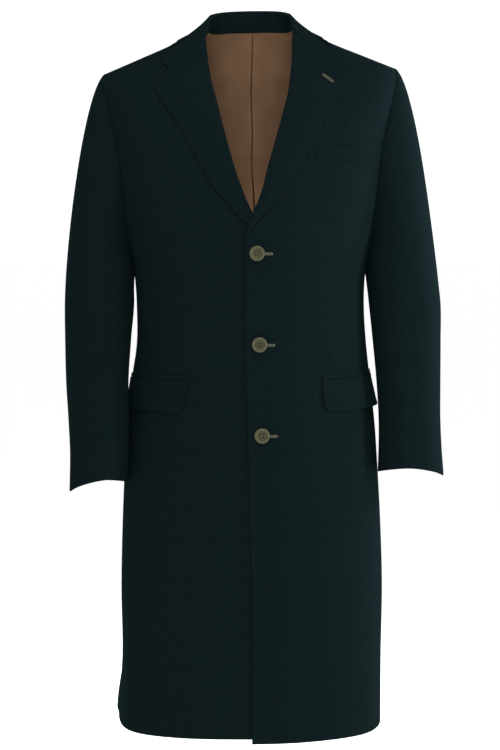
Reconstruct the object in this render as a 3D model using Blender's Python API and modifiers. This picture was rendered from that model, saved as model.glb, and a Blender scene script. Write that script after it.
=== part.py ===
"""A single-breasted topcoat, hollow, in the shape it has when it is worn.

Metres, +Z up. The front is towards -Y and the wearer's left towards +X. The origin is the middle of
the neck, level with the seam between the collar and the back.

The body is a stack of level rings. A ring is a squared ellipse with its own half-width on each side
and its own depth in front and behind. A turn of 0 is the centre front, a quarter turn is the side and
a half turn is the centre back. Each panel is a wall between an outer and an inner sheet of points on
those rings, and what lies on a panel is made from the same points, moved out.
"""

import math

import bmesh
import bpy
import numpy as np

LEFT = 1
RIGHT = -1
SIDES = {"left": LEFT, "right": RIGHT}
QUARTER = math.pi / 2

# Cloth
CLOTH = 0.0020
TURNED_CLOTH = 0.0022
LINING_CLOTH = 0.0010
SEAM_GAP = 0.0003
LAY_GAP = 0.0011
TINY = 1e-4

# Levels
SHOULDER_Z = -0.064
UNDERARM_Z = -0.368
BREAK_Z = -0.306
BREAK_ROW_Z = -0.284
FRONT_TOP_Z = -0.004
VENT_TOP_Z = -0.640
HEM_Z = -1.0715
LEFT_HEM_DROP = 0.0065
HEM_DROP_REACH = 0.260
HEM_DROP_TOP_Z = -0.750

# The figure stands with its right shoulder a little lower
SHOULDER_TILT = 0.0188
TILT_FROM_Z = -0.450
TILT_FULL_Z = -0.150

# Rows of points on a panel, a sleeve and half a collar
SKIRT_ROWS = 10
WAIST_ROWS = 8
ARMHOLE_ROWS = 11
SHOULDER_ROWS = 6
SLEEVE_ROWS = 17
COLLAR_ROWS = 14
RING_SAMPLES = 400

# Laps
FRONT_LAP_LIFT = 0.0027
BREAK_LIFT = 0.0036
BREAK_REACH = 0.045
LAP_FLAT = 0.050
LAP_FADE = 0.120
VENT_LAP = 0.045
VENT_LIFT = 0.0027
VENT_FADE = 0.080
VENT_START = 0.004

# Turned edge of collar and lapels
ROLL = CLOTH / 2 + LAY_GAP + TURNED_CLOTH / 2
ROLL_REACH = ROLL + TURNED_CLOTH / 2
INNER_LEAF = 0.005
LAPEL_END = 0.006
LAPEL_LIFT = LAY_GAP + TURNED_CLOTH / 2
NOTCH_SHARE = 0.80
NOTCH_FROM = 0.76
GORGE_GAP = 0.0006
COLLAR_SPRING = 0.40
STAND_SHARES = (0.0, 0.5)
COLLAR_EASE = 0.0018
ROLL_STEPS = 5
ROLL_START = 0.020
NECK_CLEAR = 0.012
NECK_FADE = 0.006

# Armhole and sleeves
ARMHOLE_SHARE = 0.43
ARMHOLE_TAPER = 0.25
ARMHOLE_ROUND = 0.80
SLEEVE_ARM_Z = -0.400
SLEEVE_GAP = 0.0011
CAP_OUT = 0.22
CAP_RISE = 0.05
CAP_REACH = 1.20
CAP_ROUND = 0.15
FOREARM_SEAM = math.radians(144)
HINDARM_SEAM = math.radians(-108)
ARM_RADIUS = 0.050

# Pockets and buttons
POCKET_LENGTH = 0.155
JET_TOP_Z = -0.529
JET_HEIGHT = 0.0065
JET_THICK = 0.0014
FLAP_HEIGHT = 0.0480
FLAP_THICK = 0.0022
FLAP_CORNER = 0.012
WELT_THICK = 0.0018
WELT_FRONT_X = 0.1005
WELT_LENGTH = 0.092
WELT_HEIGHT = 0.0225
WELT_FRONT_Z = -0.1916
WELT_RISE = 0.0085
BUTTON_SHANK = 0.0012
BUTTON_HOLE_RADIUS = 0.0012
BUTTON_HOLE_SPREAD = 0.0024
BUTTON_HOLES = 4
BUTTON_HOLE_SIDES = 6
BUTTON_STEPS = 16

# Colours as linear light, and how rough each stuff is
WOOL = (0.0090, 0.0150, 0.0165, 1.0)
LINING = (0.1170, 0.0690, 0.0390, 1.0)
HORN = (0.1400, 0.1250, 0.0800, 1.0)
WOOL_ROUGH = 0.85
LINING_ROUGH = 0.45
HORN_ROUGH = 0.35


def table(columns, *rows):
    """A short table as a dict from column name to the column's values."""
    return dict(zip(columns.split(), np.array(rows, float).T))


# Half-width of the body from the hem to the shoulder
WIDTHS = table(
    "z right left",
    (-1.090, 0.2035, 0.2035),
    (-0.968, 0.1990, 0.2040),
    (-0.860, 0.2005, 0.2058),
    (-0.763, 0.1985, 0.2030),
    (-0.680, 0.1950, 0.1985),
    (-0.606, 0.1905, 0.1935),
    (-0.543, 0.1840, 0.1865),
    (-0.481, 0.1755, 0.1798),
    (-0.434, 0.1755, 0.1768),
    (-0.400, 0.1770, 0.1770),
    (UNDERARM_Z, 0.1805, 0.1800),
    (-0.342, 0.1865, 0.1865),
    (-0.303, 0.1960, 0.1960),
    (-0.250, 0.2055, 0.2055),
    (-0.200, 0.2130, 0.2130),
    (-0.164, 0.2183, 0.2183),
    (-0.125, 0.2232, 0.2232),
    (-0.090, 0.2262, 0.2262),
    (SHOULDER_Z, 0.2245, 0.2245),
)

# Depth of the body, where its side lies, and how square its ring is
DEPTHS = table(
    "z front back side square",
    (-1.090, -0.168, 0.167, 0.000, 2.9),
    (-0.960, -0.161, 0.161, 0.000, 2.8),
    (-0.727, -0.152, 0.153, 0.000, 2.6),
    (-0.627, -0.148, 0.146, 0.000, 2.5),
    (-0.540, -0.144, 0.131, 0.000, 2.4),
    (-0.447, -0.143, 0.120, 0.000, 2.4),
    (-0.356, -0.148, 0.131, 0.004, 2.4),
    (-0.279, -0.143, 0.138, 0.007, 2.4),
    (-0.198, -0.125, 0.136, 0.009, 2.4),
    (-0.115, -0.094, 0.120, 0.010, 2.8),
    (-0.064, -0.064, 0.100, 0.010, 3.1),
    (-0.014, -0.030, 0.075, 0.009, 2.6),
    (0.000, -0.020, 0.065, 0.009, 2.4),
)

# The shoulder seam, from the armhole up to the neck
SHOULDER = table(
    "z half",
    (SHOULDER_Z, 0.2245),
    (-0.0525, 0.1970),
    (-0.0375, 0.1615),
    (-0.0233, 0.1272),
    (-0.0110, 0.0985),
    (0.0000, 0.0755),
)

# Finished front edge and roll line, measured from the middle towards the front's own side
FRONT_EDGE = {
    LEFT: table(
        "z x",
        (-1.090, 0.0030),
        (-0.863, 0.0030),
        (-0.713, -0.0007),
        (-0.618, -0.0030),
        (-0.482, -0.0074),
        (-0.400, -0.0074),
        (-0.327, -0.0059),
        (BREAK_Z, -0.0044),
        (-0.2854, 0.0044),
        (-0.2676, 0.0119),
        (-0.2154, 0.0268),
        (-0.1626, 0.0418),
        (-0.1100, 0.0556),
        (-0.0626, 0.0622),
        (-0.0147, 0.0644),
        (0.0000, 0.0680),
    ),
    RIGHT: table(
        "z x",
        (-1.090, -0.0320),
        (-0.618, -0.0380),
        (-0.400, -0.0320),
        (-0.336, -0.0285),
        (BREAK_Z, -0.0160),
        (-0.2854, -0.0044),
        (-0.2528, 0.0089),
        (-0.1929, 0.0283),
        (-0.1312, 0.0450),
        (-0.0766, 0.0589),
        (-0.0361, 0.0647),
        (-0.0122, 0.0675),
        (0.0000, 0.0695),
    ),
}

# Where each row of a lapel leaves the roll line, and where it ends on the lapel's edge
LAPEL = {
    LEFT: table(
        "roll_z edge_x edge_z",
        (-0.0147, 0.1443, -0.0757),
        (-0.0420, 0.1418, -0.0930),
        (-0.0740, 0.1290, -0.1165),
        (-0.1100, 0.1048, -0.1635),
        (-0.1450, 0.0926, -0.1890),
        (-0.1860, 0.0745, -0.2236),
        (-0.2250, 0.0520, -0.2530),
        (-0.2600, 0.0297, -0.2780),
        (-0.2850, 0.0140, -0.2960),
        (-0.3030, 0.0050, -0.3080),
    ),
    RIGHT: table(
        "roll_z edge_x edge_z",
        (-0.0150, 0.1461, -0.0870),
        (-0.0420, 0.1365, -0.1080),
        (-0.0740, 0.1175, -0.1380),
        (-0.1100, 0.0973, -0.1680),
        (-0.1450, 0.0746, -0.2140),
        (-0.1860, 0.0521, -0.2518),
        (-0.2220, 0.0297, -0.2776),
        (-0.2560, 0.0150, -0.2930),
        (-0.2800, 0.0070, -0.3020),
    ),
}

# Where the gorge seam ends and the collar's free corner lies
NOTCH = {
    LEFT: {"vertex": (0.1217, -0.0552), "corner": (0.1403, -0.0462)},
    RIGHT: {"vertex": (0.1213, -0.0621), "corner": (0.1356, -0.0514)},
}

# One half of the collar: its neck seam, fold and outer edge, and whether that edge lies behind
COLLAR = table(
    "share seam_x seam_y seam_z fold_x fold_y fold_z edge_x edge_z behind",
    (0.00, 0.0000, 0.0640, 0.0006, 0.0000, 0.0575, 0.0325, 0.0000, -0.0160, 1),
    (0.20, 0.0400, 0.0558, 0.0006, 0.0340, 0.0505, 0.0318, 0.0520, -0.0165, 1),
    (0.40, 0.0655, 0.0350, 0.0006, 0.0540, 0.0320, 0.0280, 0.1050, -0.0195, 1),
    (0.55, 0.0725, 0.0095, 0.0010, 0.0605, 0.0100, 0.0205, 0.1200, -0.0222, 0),
    (0.78, 0.0690, -0.0090, -0.0080, 0.0650, -0.0090, 0.0030, 0.1300, -0.0370, 0),
)

# The arm below the sleeve's head: its two outlines, and its middle and half-depth front to back
SLEEVE = {
    LEFT: table(
        "z outer inner middle depth",
        (-0.715, 0.2990, 0.1975, -0.050, 0.051),
        (-0.679, 0.2970, 0.1985, -0.048, 0.051),
        (-0.648, 0.2948, 0.1997, -0.045, 0.052),
        (-0.603, 0.2931, 0.2002, -0.038, 0.054),
        (-0.542, 0.2937, 0.1972, -0.027, 0.059),
        (-0.480, 0.2948, 0.1920, -0.014, 0.064),
        (-0.419, 0.2949, 0.1860, -0.003, 0.070),
        (SLEEVE_ARM_Z, 0.2930, 0.1840, 0.000, 0.073),
        (-0.340, 0.2860, 0.1750, 0.006, 0.078),
    ),
    RIGHT: table(
        "z outer inner middle depth",
        (-0.730, 0.2755, 0.1905, -0.081, 0.050),
        (-0.694, 0.2745, 0.1890, -0.079, 0.050),
        (-0.648, 0.2740, 0.1868, -0.075, 0.053),
        (-0.603, 0.2765, 0.1868, -0.068, 0.056),
        (-0.542, 0.2810, 0.1870, -0.055, 0.060),
        (-0.480, 0.2844, 0.1848, -0.030, 0.064),
        (-0.419, 0.2862, 0.1825, -0.010, 0.070),
        (SLEEVE_ARM_Z, 0.2858, 0.1818, -0.006, 0.073),
        (-0.340, 0.2815, 0.1770, 0.004, 0.078),
    ),
}

# Cuff edge: its level, its slant from inner to outer side, and how far it rises in front and behind
CUFF = table(
    "side z slant front_rise back_rise",
    (LEFT, -0.6845, -0.0036, 0.0122, 0.0030),
    (RIGHT, -0.7015, -0.0078, 0.0140, 0.0030),
)

# Soft folds of the skirt: where they stand, how wide and deep they are, and where they start
FOLDS = table(
    "side turn_degrees width_degrees depth top_z",
    (RIGHT, 106.0, 13.0, 0.0165, -0.930),
    (RIGHT, 150.0, 13.0, 0.0060, -0.700),
    (RIGHT, 58.0, 14.0, 0.0030, -0.780),
    (LEFT, 116.0, 15.0, 0.0040, -0.820),
    (LEFT, 148.0, 13.0, 0.0060, -0.700),
    (LEFT, 56.0, 14.0, 0.0030, -0.760),
)

# Pocket on each front: where its front end lies, and how its line rises towards the side
POCKET = table(
    "side front_x rise back_lift",
    (LEFT, 0.1079, 0.0045, 0.0055),
    (RIGHT, 0.0942, -0.0010, 0.0003),
)

# Button places on the left front
BUTTONS = table(
    "x z",
    (0.0104, -0.3468),
    (0.0141, -0.4823),
    (0.0179, -0.6179),
)

# Half outline of a button from its middle, over its rim, to its back
BUTTON_PROFILE = table(
    "radius height",
    (0.0000, 0.0022),
    (0.0072, 0.0024),
    (0.0090, 0.0036),
    (0.0108, 0.0038),
    (0.0120, 0.0028),
    (0.0118, 0.0014),
    (0.0085, 0.0000),
    (0.0000, 0.0000),
)


def smooth(at, places, values):
    """A cubic curve through a table's rows, read at the given places."""
    at = np.asarray(at, float)
    slopes = np.gradient(values, places)
    row = np.clip(np.searchsorted(places, at) - 1, 0, len(places) - 2)
    span = places[row + 1] - places[row]
    t = np.clip((at - places[row]) / span, 0.0, 1.0)
    back = 1.0 - t
    return (
        (1.0 + 2.0 * t) * back**2 * values[row]
        + t * back**2 * span * slopes[row]
        + t**2 * (3.0 - 2.0 * t) * values[row + 1]
        - t**2 * back * span * slopes[row + 1]
    )


def ease(at, start, end):
    """0 before the start, 1 after the end, with a soft step between."""
    t = np.clip((np.asarray(at, float) - start) / (end - start), 0.0, 1.0)
    return t * t * (3.0 - 2.0 * t)


def unit(vectors):
    """The same vectors at length one."""
    return vectors / np.linalg.norm(vectors, axis=-1, keepdims=True)


def arm_share(z):
    """How far round from the side the armhole's edge lies at a level, as a share of the body's depth."""
    height = np.clip((2.0 * z - SHOULDER_Z - UNDERARM_Z) / (SHOULDER_Z - UNDERARM_Z), -1.0, 1.0)
    return ARMHOLE_SHARE * (1.0 - height**2) ** (ARMHOLE_ROUND / 2.0) * (1.0 + ARMHOLE_TAPER * height)


def half_width(side, z):
    """Half-width of the ring at a level, with the shoulder seam above the armhole."""
    beside = smooth(z, WIDTHS["z"], WIDTHS["left" if side == LEFT else "right"])
    above = smooth(z, SHOULDER["z"], SHOULDER["half"])
    return np.where(z < SHOULDER_Z, beside, above)


def ring(side, z):
    """Half-width, front depth, back depth, side place and squareness of the ring at a level."""
    column = {name: smooth(z, DEPTHS["z"], DEPTHS[name]) for name in ("front", "back", "side", "square")}
    middle = column["side"]
    return half_width(side, z), column["front"] - middle, column["back"] - middle, middle, column["square"]


def ring_point(side, turn, z):
    """Points of the body at a turn and a level."""
    half, front, back, middle, square = ring(side, z)
    across = np.sin(turn)
    depth = np.clip(1.0 - np.abs(across) ** square, 0.0, 1.0) ** (1.0 / square)
    y = middle + np.where(np.cos(turn) >= 0.0, front, back) * depth
    return np.stack(np.broadcast_arrays(side * half * across, y, z), axis=-1)


def ring_level(side, points):
    """1 on the body's surface, more outside it and less inside."""
    x, y, z = np.moveaxis(points, -1, 0)
    half, front, back, middle, square = ring(side, z)
    depth = np.where(y < middle, front, back)
    return (np.abs(x / half) ** square + np.abs((y - middle) / depth) ** square) ** (1.0 / square)


def slope_of_level(side, points):
    """How fast the level grows along X, Y and Z."""
    steps = TINY * np.eye(3)
    grows = [ring_level(side, points + step) - ring_level(side, points - step) for step in steps]
    return np.stack(grows, axis=-1) / (2.0 * TINY)


def body_normal(side, points):
    """Outward direction of the body at points on it."""
    return unit(slope_of_level(side, points))


def clear_of_body(side, points, distance):
    """The points, with any that lie nearer to the body than the distance moved out to it."""
    for _ in range(3):
        slope = slope_of_level(side, points)
        steep = np.linalg.norm(slope, axis=-1)
        short = np.maximum(distance - (ring_level(side, points) - 1.0) / steep, 0.0)
        short = short * (1.0 - ease(points[..., 2], -NECK_FADE, 0.0))
        points = points + unit(slope) * short[..., None]
    return points


def folds(side, turn, z):
    """How far the soft folds stand out from the skirt."""
    out = np.zeros(np.broadcast(turn, z).shape)
    for row_side, at, width, depth, top in zip(*FOLDS.values()):
        if row_side == side:
            bump = np.exp(-(((np.degrees(turn) - at) / width) ** 2))
            out = out + depth * bump * (1.0 - ease(z, HEM_Z, top))
    return out


def front_lift(side, x, z):
    """How far a front stands off the body: the left one lies over the right."""
    near = 1.0 - ease(np.abs(x), LAP_FLAT, LAP_FADE)
    at_break = BREAK_LIFT * np.exp(-(((z - BREAK_Z) / BREAK_REACH) ** 2))
    return (side == LEFT) * near * (FRONT_LAP_LIFT + at_break)


def vent_lift(side, x, z):
    """How far a back stands off the body: at the vent the left one lies over the right."""
    near = 1.0 - ease(np.abs(x), LAP_FLAT, LAP_FADE)
    return (side == LEFT) * near * VENT_LIFT * (1.0 - ease(z, VENT_TOP_Z, VENT_TOP_Z + VENT_FADE))


def on_front(side, turn, z, height):
    """Points of a front, moved out by a height."""
    points = ring_point(side, turn, z)
    lift = front_lift(side, points[..., 0], z) + folds(side, turn, z) + height
    return points + body_normal(side, points) * lift[..., None]


def on_back(side, turn, z, height):
    """Points of a back, moved out by a height."""
    points = ring_point(side, turn, z)
    lift = vent_lift(side, points[..., 0], z) + folds(side, turn, z) + height
    return points + body_normal(side, points) * lift[..., None]


def turn_of_x(side, x, z):
    """Turn of the front point at a distance from the middle towards the side."""
    return np.arcsin(np.clip(x / half_width(side, z), -1.0, 1.0))


def side_turn(side, z, share, gap):
    """Quarter turn less the given share of the ring's depth, or less a gap where the share is nothing."""
    _, front, _, _, square = ring(side, z)
    share = np.maximum(share, gap / np.abs(front))
    return np.arcsin((1.0 - share**square) ** (1.0 / square))


def front_edge(side, z):
    """Finished front edge or roll line at a level, from the middle towards the side."""
    return smooth(z, FRONT_EDGE[side]["z"], FRONT_EDGE[side]["x"])


def panel_edge(side, z):
    """Cut edge of the front panel: inside the roll where the lapel turns round it."""
    turned = ROLL_REACH * ease(z, BREAK_Z - ROLL_START, BREAK_Z)
    under_collar = NECK_CLEAR * ease(z, LAPEL[side]["roll_z"][0], FRONT_TOP_Z)
    return front_edge(side, z) + turned + under_collar


def lean(points):
    """The points as the figure stands, its right shoulder a little lower."""
    leant = points.copy()
    weight = ease(points[..., 2], TILT_FROM_Z, TILT_FULL_Z)
    leant[..., 2] += SHOULDER_TILT * points[..., 0] * weight
    return leant


def levels(low, top):
    """Rows of a panel: even in the skirt, rounded to the armhole, even up the shoulder."""
    above = np.linspace(VENT_TOP_Z, UNDERARM_Z, WAIST_ROWS)
    below = np.linspace(low, VENT_TOP_Z - VENT_START, SKIRT_ROWS)
    middle = (SHOULDER_Z + UNDERARM_Z) / 2.0
    radius = (SHOULDER_Z - UNDERARM_Z) / 2.0
    armhole = middle - radius * np.cos(np.linspace(0.0, math.pi, ARMHOLE_ROWS))
    shoulder = np.linspace(SHOULDER_Z, top, SHOULDER_ROWS)
    return np.sort(np.concatenate([below, above, armhole[1:], shoulder[1:], [BREAK_ROW_Z]]))


def make_material(name, colour, roughness):
    """A plain material with a colour and a roughness."""
    material = bpy.data.materials.new(name)
    material.use_nodes = True
    shader = material.node_tree.nodes["Principled BSDF"]
    shader.inputs["Base Color"].default_value = colour
    shader.inputs["Roughness"].default_value = roughness
    shader.inputs["Metallic"].default_value = 0.0
    material.diffuse_color = colour
    return material


def wall(name, outer, inner, material, collection):
    """A closed wall lofted between an outer and an inner sheet of points.

    Both sheets are rows by columns of points. Each is skinned with quads, and a rim joins their edges.
    """
    mesh = bmesh.new()
    sheets = [[[mesh.verts.new(point) for point in row] for row in lean(sheet)] for sheet in (outer, inner)]
    rows, columns = outer.shape[:2]
    for front, sheet in zip((True, False), sheets):
        for i in range(rows - 1):
            for j in range(columns - 1):
                loop = [sheet[i][j], sheet[i][j + 1], sheet[i + 1][j + 1], sheet[i + 1][j]]
                mesh.faces.new(loop if front else loop[::-1])
    top = [(0, j) for j in range(columns)]
    far = [(i, columns - 1) for i in range(1, rows)]
    bottom = [(rows - 1, j) for j in range(columns - 2, -1, -1)]
    near = [(i, 0) for i in range(rows - 2, 0, -1)]
    border = top + far + bottom + near
    for (a, b), (c, d) in zip(border, border[1:] + border[:1]):
        mesh.faces.new((sheets[0][c][d], sheets[0][a][b], sheets[1][a][b], sheets[1][c][d]))
    bmesh.ops.recalc_face_normals(mesh, faces=mesh.faces)
    data = bpy.data.meshes.new(name)
    mesh.to_mesh(data)
    mesh.free()
    data.materials.append(material)
    piece = bpy.data.objects.new(name, data)
    collection.objects.link(piece)
    return piece


def sheet_normals(points):
    """Normals of a sheet of points, from its rows and columns."""
    return unit(np.cross(np.gradient(points, axis=0), np.gradient(points, axis=1)))


def thicken(middle, thickness):
    """Outer and inner sheets half a thickness either side of a middle sheet."""
    offset = sheet_normals(middle) * thickness / 2.0
    return middle + offset, middle - offset


def make_front(name, side, columns=13):
    """Front panel from its edge or roll line to the side seam, the armhole and the shoulder seam."""
    z = levels(HEM_Z, FRONT_TOP_Z)[:, None]
    across = np.linspace(0.0, 1.0, columns)[None, :]
    start = turn_of_x(side, panel_edge(side, z), z)
    share = np.where((z > UNDERARM_Z) & (z < SHOULDER_Z), arm_share(z), 0.0)
    end = side_turn(side, z, share, SEAM_GAP / 2.0)
    turn = start + (end - start) * across
    x = half_width(side, z) * np.sin(turn)
    near = 1.0 - ease(x, 0.0, HEM_DROP_REACH)
    low = 1.0 - ease(z, HEM_Z, HEM_DROP_TOP_Z)
    z = z - (side == LEFT) * LEFT_HEM_DROP * near * low
    return name, on_front(side, turn, z, 0.0), on_front(side, turn, z, -CLOTH)


def back_grid(side, columns=15):
    """Turns and levels of a back, from the side seam, armhole and shoulder seam to the centre seam."""
    z = levels(HEM_Z, 0.0)[:, None]
    across = np.linspace(0.0, 1.0, columns)[None, :]
    share = np.where((z > UNDERARM_Z) & (z < SHOULDER_Z), arm_share(z), 0.0)
    start = math.pi - side_turn(side, z, share, SEAM_GAP / 2.0)
    lap = np.where(z < VENT_TOP_Z, VENT_LAP / 2.0, 0.0)
    end = math.pi - turn_of_x(side, SEAM_GAP / 2.0 - lap, z)
    return start + (end - start) * across, z


def make_back(name, side):
    """Back panel, with its half of the vent."""
    turn, z = back_grid(side)
    return name, on_back(side, turn, z, 0.0), on_back(side, turn, z, -CLOTH)


def make_lining(name, side):
    """Half of the back lining, on the inside of the back's points above the vent."""
    turn, z = back_grid(side)
    shown = np.flatnonzero(z[:, 0] >= VENT_TOP_Z)
    turn, z = turn[shown, 2::2], np.minimum(z[shown], -SEAM_GAP)
    outside = -CLOTH - LAY_GAP
    return name, on_back(side, turn, z, outside), on_back(side, turn, z, outside - LINING_CLOTH)


def armhole_point(side, around):
    """Points of the armhole's edge: 0 is the shoulder, a quarter turn is its front."""
    middle = (SHOULDER_Z + UNDERARM_Z) / 2.0
    z = middle + (SHOULDER_Z - UNDERARM_Z) / 2.0 * np.cos(around)
    half, front, back, side_y, square = ring(side, z)
    share = arm_share(z)
    x = side * (half * (1.0 - share**square) ** (1.0 / square) + SLEEVE_GAP)
    y = side_y + share * np.where(np.sin(around) >= 0.0, front, back)
    return np.stack([x, y, z], axis=-1)


def arm_point(side, around, z, level):
    """Points of the arm: an oval through the two outlines at a level, set at its own height."""
    rows = SLEEVE[side]
    outer, inner, middle, depth = (
        smooth(level, rows["z"], rows[name]) for name in ("outer", "inner", "middle", "depth")
    )
    x = side * ((outer + inner) / 2.0 + (outer - inner) / 2.0 * np.cos(around))
    y = middle - depth * np.sin(around)
    return np.stack(np.broadcast_arrays(x, y, z), axis=-1)


def cuff_level(side, around):
    """Level of the cuff's edge round the sleeve."""
    row = list(CUFF["side"]).index(side)
    _, z, slant, front, back = (column[row] for column in CUFF.values())
    rise = (front + back) / 2.0 * np.sin(around) ** 2 + (front - back) / 2.0 * np.sin(around)
    return z + slant * np.cos(around) + rise


def sleeve_point(side, around, along):
    """Points of a sleeve: along runs from 0 at the armhole, by 1 at the arm, to 2 at the cuff."""
    around, along = np.broadcast_arrays(around, along)
    start = armhole_point(side, around)
    end = arm_point(side, around, SLEEVE_ARM_Z, SLEEVE_ARM_Z)
    below = arm_point(side, around, SLEEVE_ARM_Z - TINY, SLEEVE_ARM_Z - TINY)
    length = np.linalg.norm(end - start, axis=-1, keepdims=True)
    leave = np.zeros_like(start)
    leave[..., 0] = side * CAP_OUT
    leave[..., 1] = -CAP_ROUND * np.sin(around)
    leave[..., 2] = CAP_RISE * np.maximum(np.cos(around), 0.0)
    arrive = unit(below - end) * CAP_REACH
    t = np.minimum(along, 1.0)[..., None]
    head = (
        (1.0 + 2.0 * t) * (1.0 - t) ** 2 * start
        + t * (1.0 - t) ** 2 * length * leave
        + t**2 * (3.0 - 2.0 * t) * end
        - t**2 * (1.0 - t) * length * arrive
    )
    level = SLEEVE_ARM_Z + (cuff_level(side, around) - SLEEVE_ARM_Z) * (along - 1.0)
    arm = arm_point(side, around, level, level)
    return np.where(along[..., None] < 1.0, head, arm)


def make_sleeve_piece(name, side, first, last, columns):
    """One piece of a two-piece sleeve, between two seams."""
    gap = SEAM_GAP / 2.0 / ARM_RADIUS
    around = np.linspace(first, last, columns)[None, :]
    around = np.clip(around, first + gap, last - gap)
    along = np.linspace(0.0, 2.0, SLEEVE_ROWS)[:, None]
    inner = sleeve_point(side, around, along)
    turn = sleeve_point(side, around + TINY, along) - sleeve_point(side, around - TINY, along)
    run = sleeve_point(side, around, along + TINY) - sleeve_point(side, around, along - TINY)
    outward = unit(np.cross(turn, run)) * side
    return name, inner + outward * CLOTH, inner


def lapel_frame(side, z):
    """Point on the front panel's edge where a lapel row leaves it, and its outward direction."""
    x = panel_edge(side, z)
    turn = turn_of_x(side, x, z)
    edge = on_front(side, turn, z, 0.0)
    return edge, body_normal(side, ring_point(side, turn, z))


def roll_points(centre, outward, away, first, steps):
    """Half circle round a turned edge, from its inner to its outer side."""
    angle = np.linspace(first, QUARTER, steps)[None, :, None]
    return centre[:, None] - away[:, None] * ROLL * np.cos(angle) + outward[:, None] * ROLL * np.sin(angle)


def lapel_leaf(side, start_x, start_z, end_x, end_z, shares):
    """Points along straight lines from the roll to the lapel's edge, lifted to the leaf's middle."""
    x = start_x[:, None] + (end_x - start_x)[:, None] * shares[None, :]
    z = start_z[:, None] + (end_z - start_z)[:, None] * shares[None, :]
    return on_front(side, turn_of_x(side, x, z), z, LAPEL_LIFT)


def make_lapel(name, side, columns=10):
    """Lapel: a leaf on the front, turned round the front's edge to a narrow inner leaf."""
    rows = {column: values[::-1] for column, values in LAPEL[side].items()}
    low, high = rows["roll_z"][0], rows["roll_z"][-1]
    panel_rows = levels(HEM_Z, FRONT_TOP_Z)
    between = panel_rows[(panel_rows > low + LAPEL_END) & (panel_rows < high - LAPEL_END)]
    roll_z = np.concatenate([[low], between, [high]])
    edge_x = smooth(roll_z, rows["roll_z"], rows["edge_x"])
    edge_z = smooth(roll_z, rows["roll_z"], rows["edge_z"])
    start_z = roll_z - np.where(roll_z == high, GORGE_GAP, 0.0)
    edge, outward = lapel_frame(side, start_z)
    shares = np.linspace(0.0, 1.0, columns)[1:]
    leaf = lapel_leaf(side, panel_edge(side, start_z), start_z, edge_x, edge_z, shares)
    away = unit(leaf[:, 0] - edge - outward * np.sum((leaf[:, 0] - edge) * outward, axis=1, keepdims=True))
    centre = edge - outward * CLOTH / 2.0
    roll = roll_points(centre, outward, away, -QUARTER, ROLL_STEPS)
    inside = (roll[:, 0] + away * INNER_LEAF)[:, None]
    middle = np.concatenate([inside, roll, leaf], axis=1)
    return (name, *thicken(middle, TURNED_CLOTH))


def collar_rows(side):
    """Seam, fold, outer edge, opening direction and outer side of the collar at each row of its table."""
    seam = np.stack([side * COLLAR["seam_x"], COLLAR["seam_y"], COLLAR["seam_z"]], axis=1)
    fold = np.stack([side * COLLAR["fold_x"], COLLAR["fold_y"], COLLAR["fold_z"]], axis=1)
    turn = turn_of_x(side, COLLAR["edge_x"], COLLAR["edge_z"])
    turn = np.where(COLLAR["behind"] > 0.5, math.pi - turn, turn)
    edge = ring_point(side, turn, COLLAR["edge_z"])
    edge = edge + body_normal(side, edge) * LAPEL_LIFT
    opening = unit(unit(seam - fold) + unit(edge - fold))
    outer = edge - seam
    outer = unit(outer - opening * np.sum(outer * opening, axis=1, keepdims=True))
    top = np.array([LAPEL[side]["roll_z"][0]])
    cut, outward = lapel_frame(side, top)
    vertex_x, vertex_z = np.array(NOTCH[side]["vertex"])[:, None]
    vertex = on_front(side, turn_of_x(side, vertex_x, vertex_z), vertex_z, LAPEL_LIFT)
    away = unit(vertex - cut - outward * np.sum((vertex - cut) * outward, axis=1, keepdims=True))
    centre = cut - outward * CLOTH / 2.0
    last = (centre - outward * ROLL + away * INNER_LEAF, centre - away * ROLL, vertex, away, outward)
    rows = (seam, fold, edge, opening, outer)
    return [np.concatenate(pair) for pair in zip(rows, last)]


def half_collar(side, shares, columns=11):
    """Middle sheet of one half of the collar, from the centre back to the gorge seam."""
    places = np.append(COLLAR["share"], 1.0)
    seam, fold, edge, opening, outer = (
        np.stack([smooth(shares, places, rows[:, axis]) for axis in range(3)], axis=1)
        for rows in collar_rows(side)
    )
    opening = unit(opening)
    outer = unit(outer - opening * np.sum(outer * opening, axis=1, keepdims=True))
    centre = fold + opening * ROLL
    roll = roll_points(centre, outer, opening, -QUARTER, ROLL_STEPS)
    t = np.linspace(0.0, 1.0, columns)[None, 1:, None]
    begin = roll[:, -1:]
    end = edge[:, None]
    spring = begin + opening[:, None] * COLLAR_SPRING * np.linalg.norm(end - begin, axis=2, keepdims=True)
    leaf = (1.0 - t) ** 2 * begin + 2.0 * t * (1.0 - t) * spring + t**2 * end
    leaf = leaf + ease(shares, NOTCH_FROM, 1.0)[:, None, None] * notch_shift(side, leaf[-1])[None]
    loose = COLLAR_EASE * (1.0 - ease(shares, NOTCH_FROM, 1.0))[:, None]
    leaf = clear_of_body(side, leaf, LAPEL_LIFT + loose)
    stand = seam[:, None] + (roll[:, :1] - seam[:, None]) * np.array(STAND_SHARES)[None, :, None]
    return np.concatenate([stand, roll, leaf], axis=1)


def notch_shift(side, straight):
    """How far the collar's end moves to run along the gorge seam to its notch and on to the free corner."""
    share = np.linspace(0.0, 1.0, len(straight) + 1)[1:]
    x0, _, z0 = straight[0]
    vertex_x, vertex_z = NOTCH[side]["vertex"]
    corner_x, corner_z = NOTCH[side]["corner"]
    places = np.array([share[0], NOTCH_SHARE, 1.0])
    x = np.interp(share, places, [side * x0, vertex_x, corner_x])
    z = np.interp(share, places, [z0, vertex_z, corner_z])
    return on_front(side, turn_of_x(side, x, z), z, LAPEL_LIFT) - straight


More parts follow.
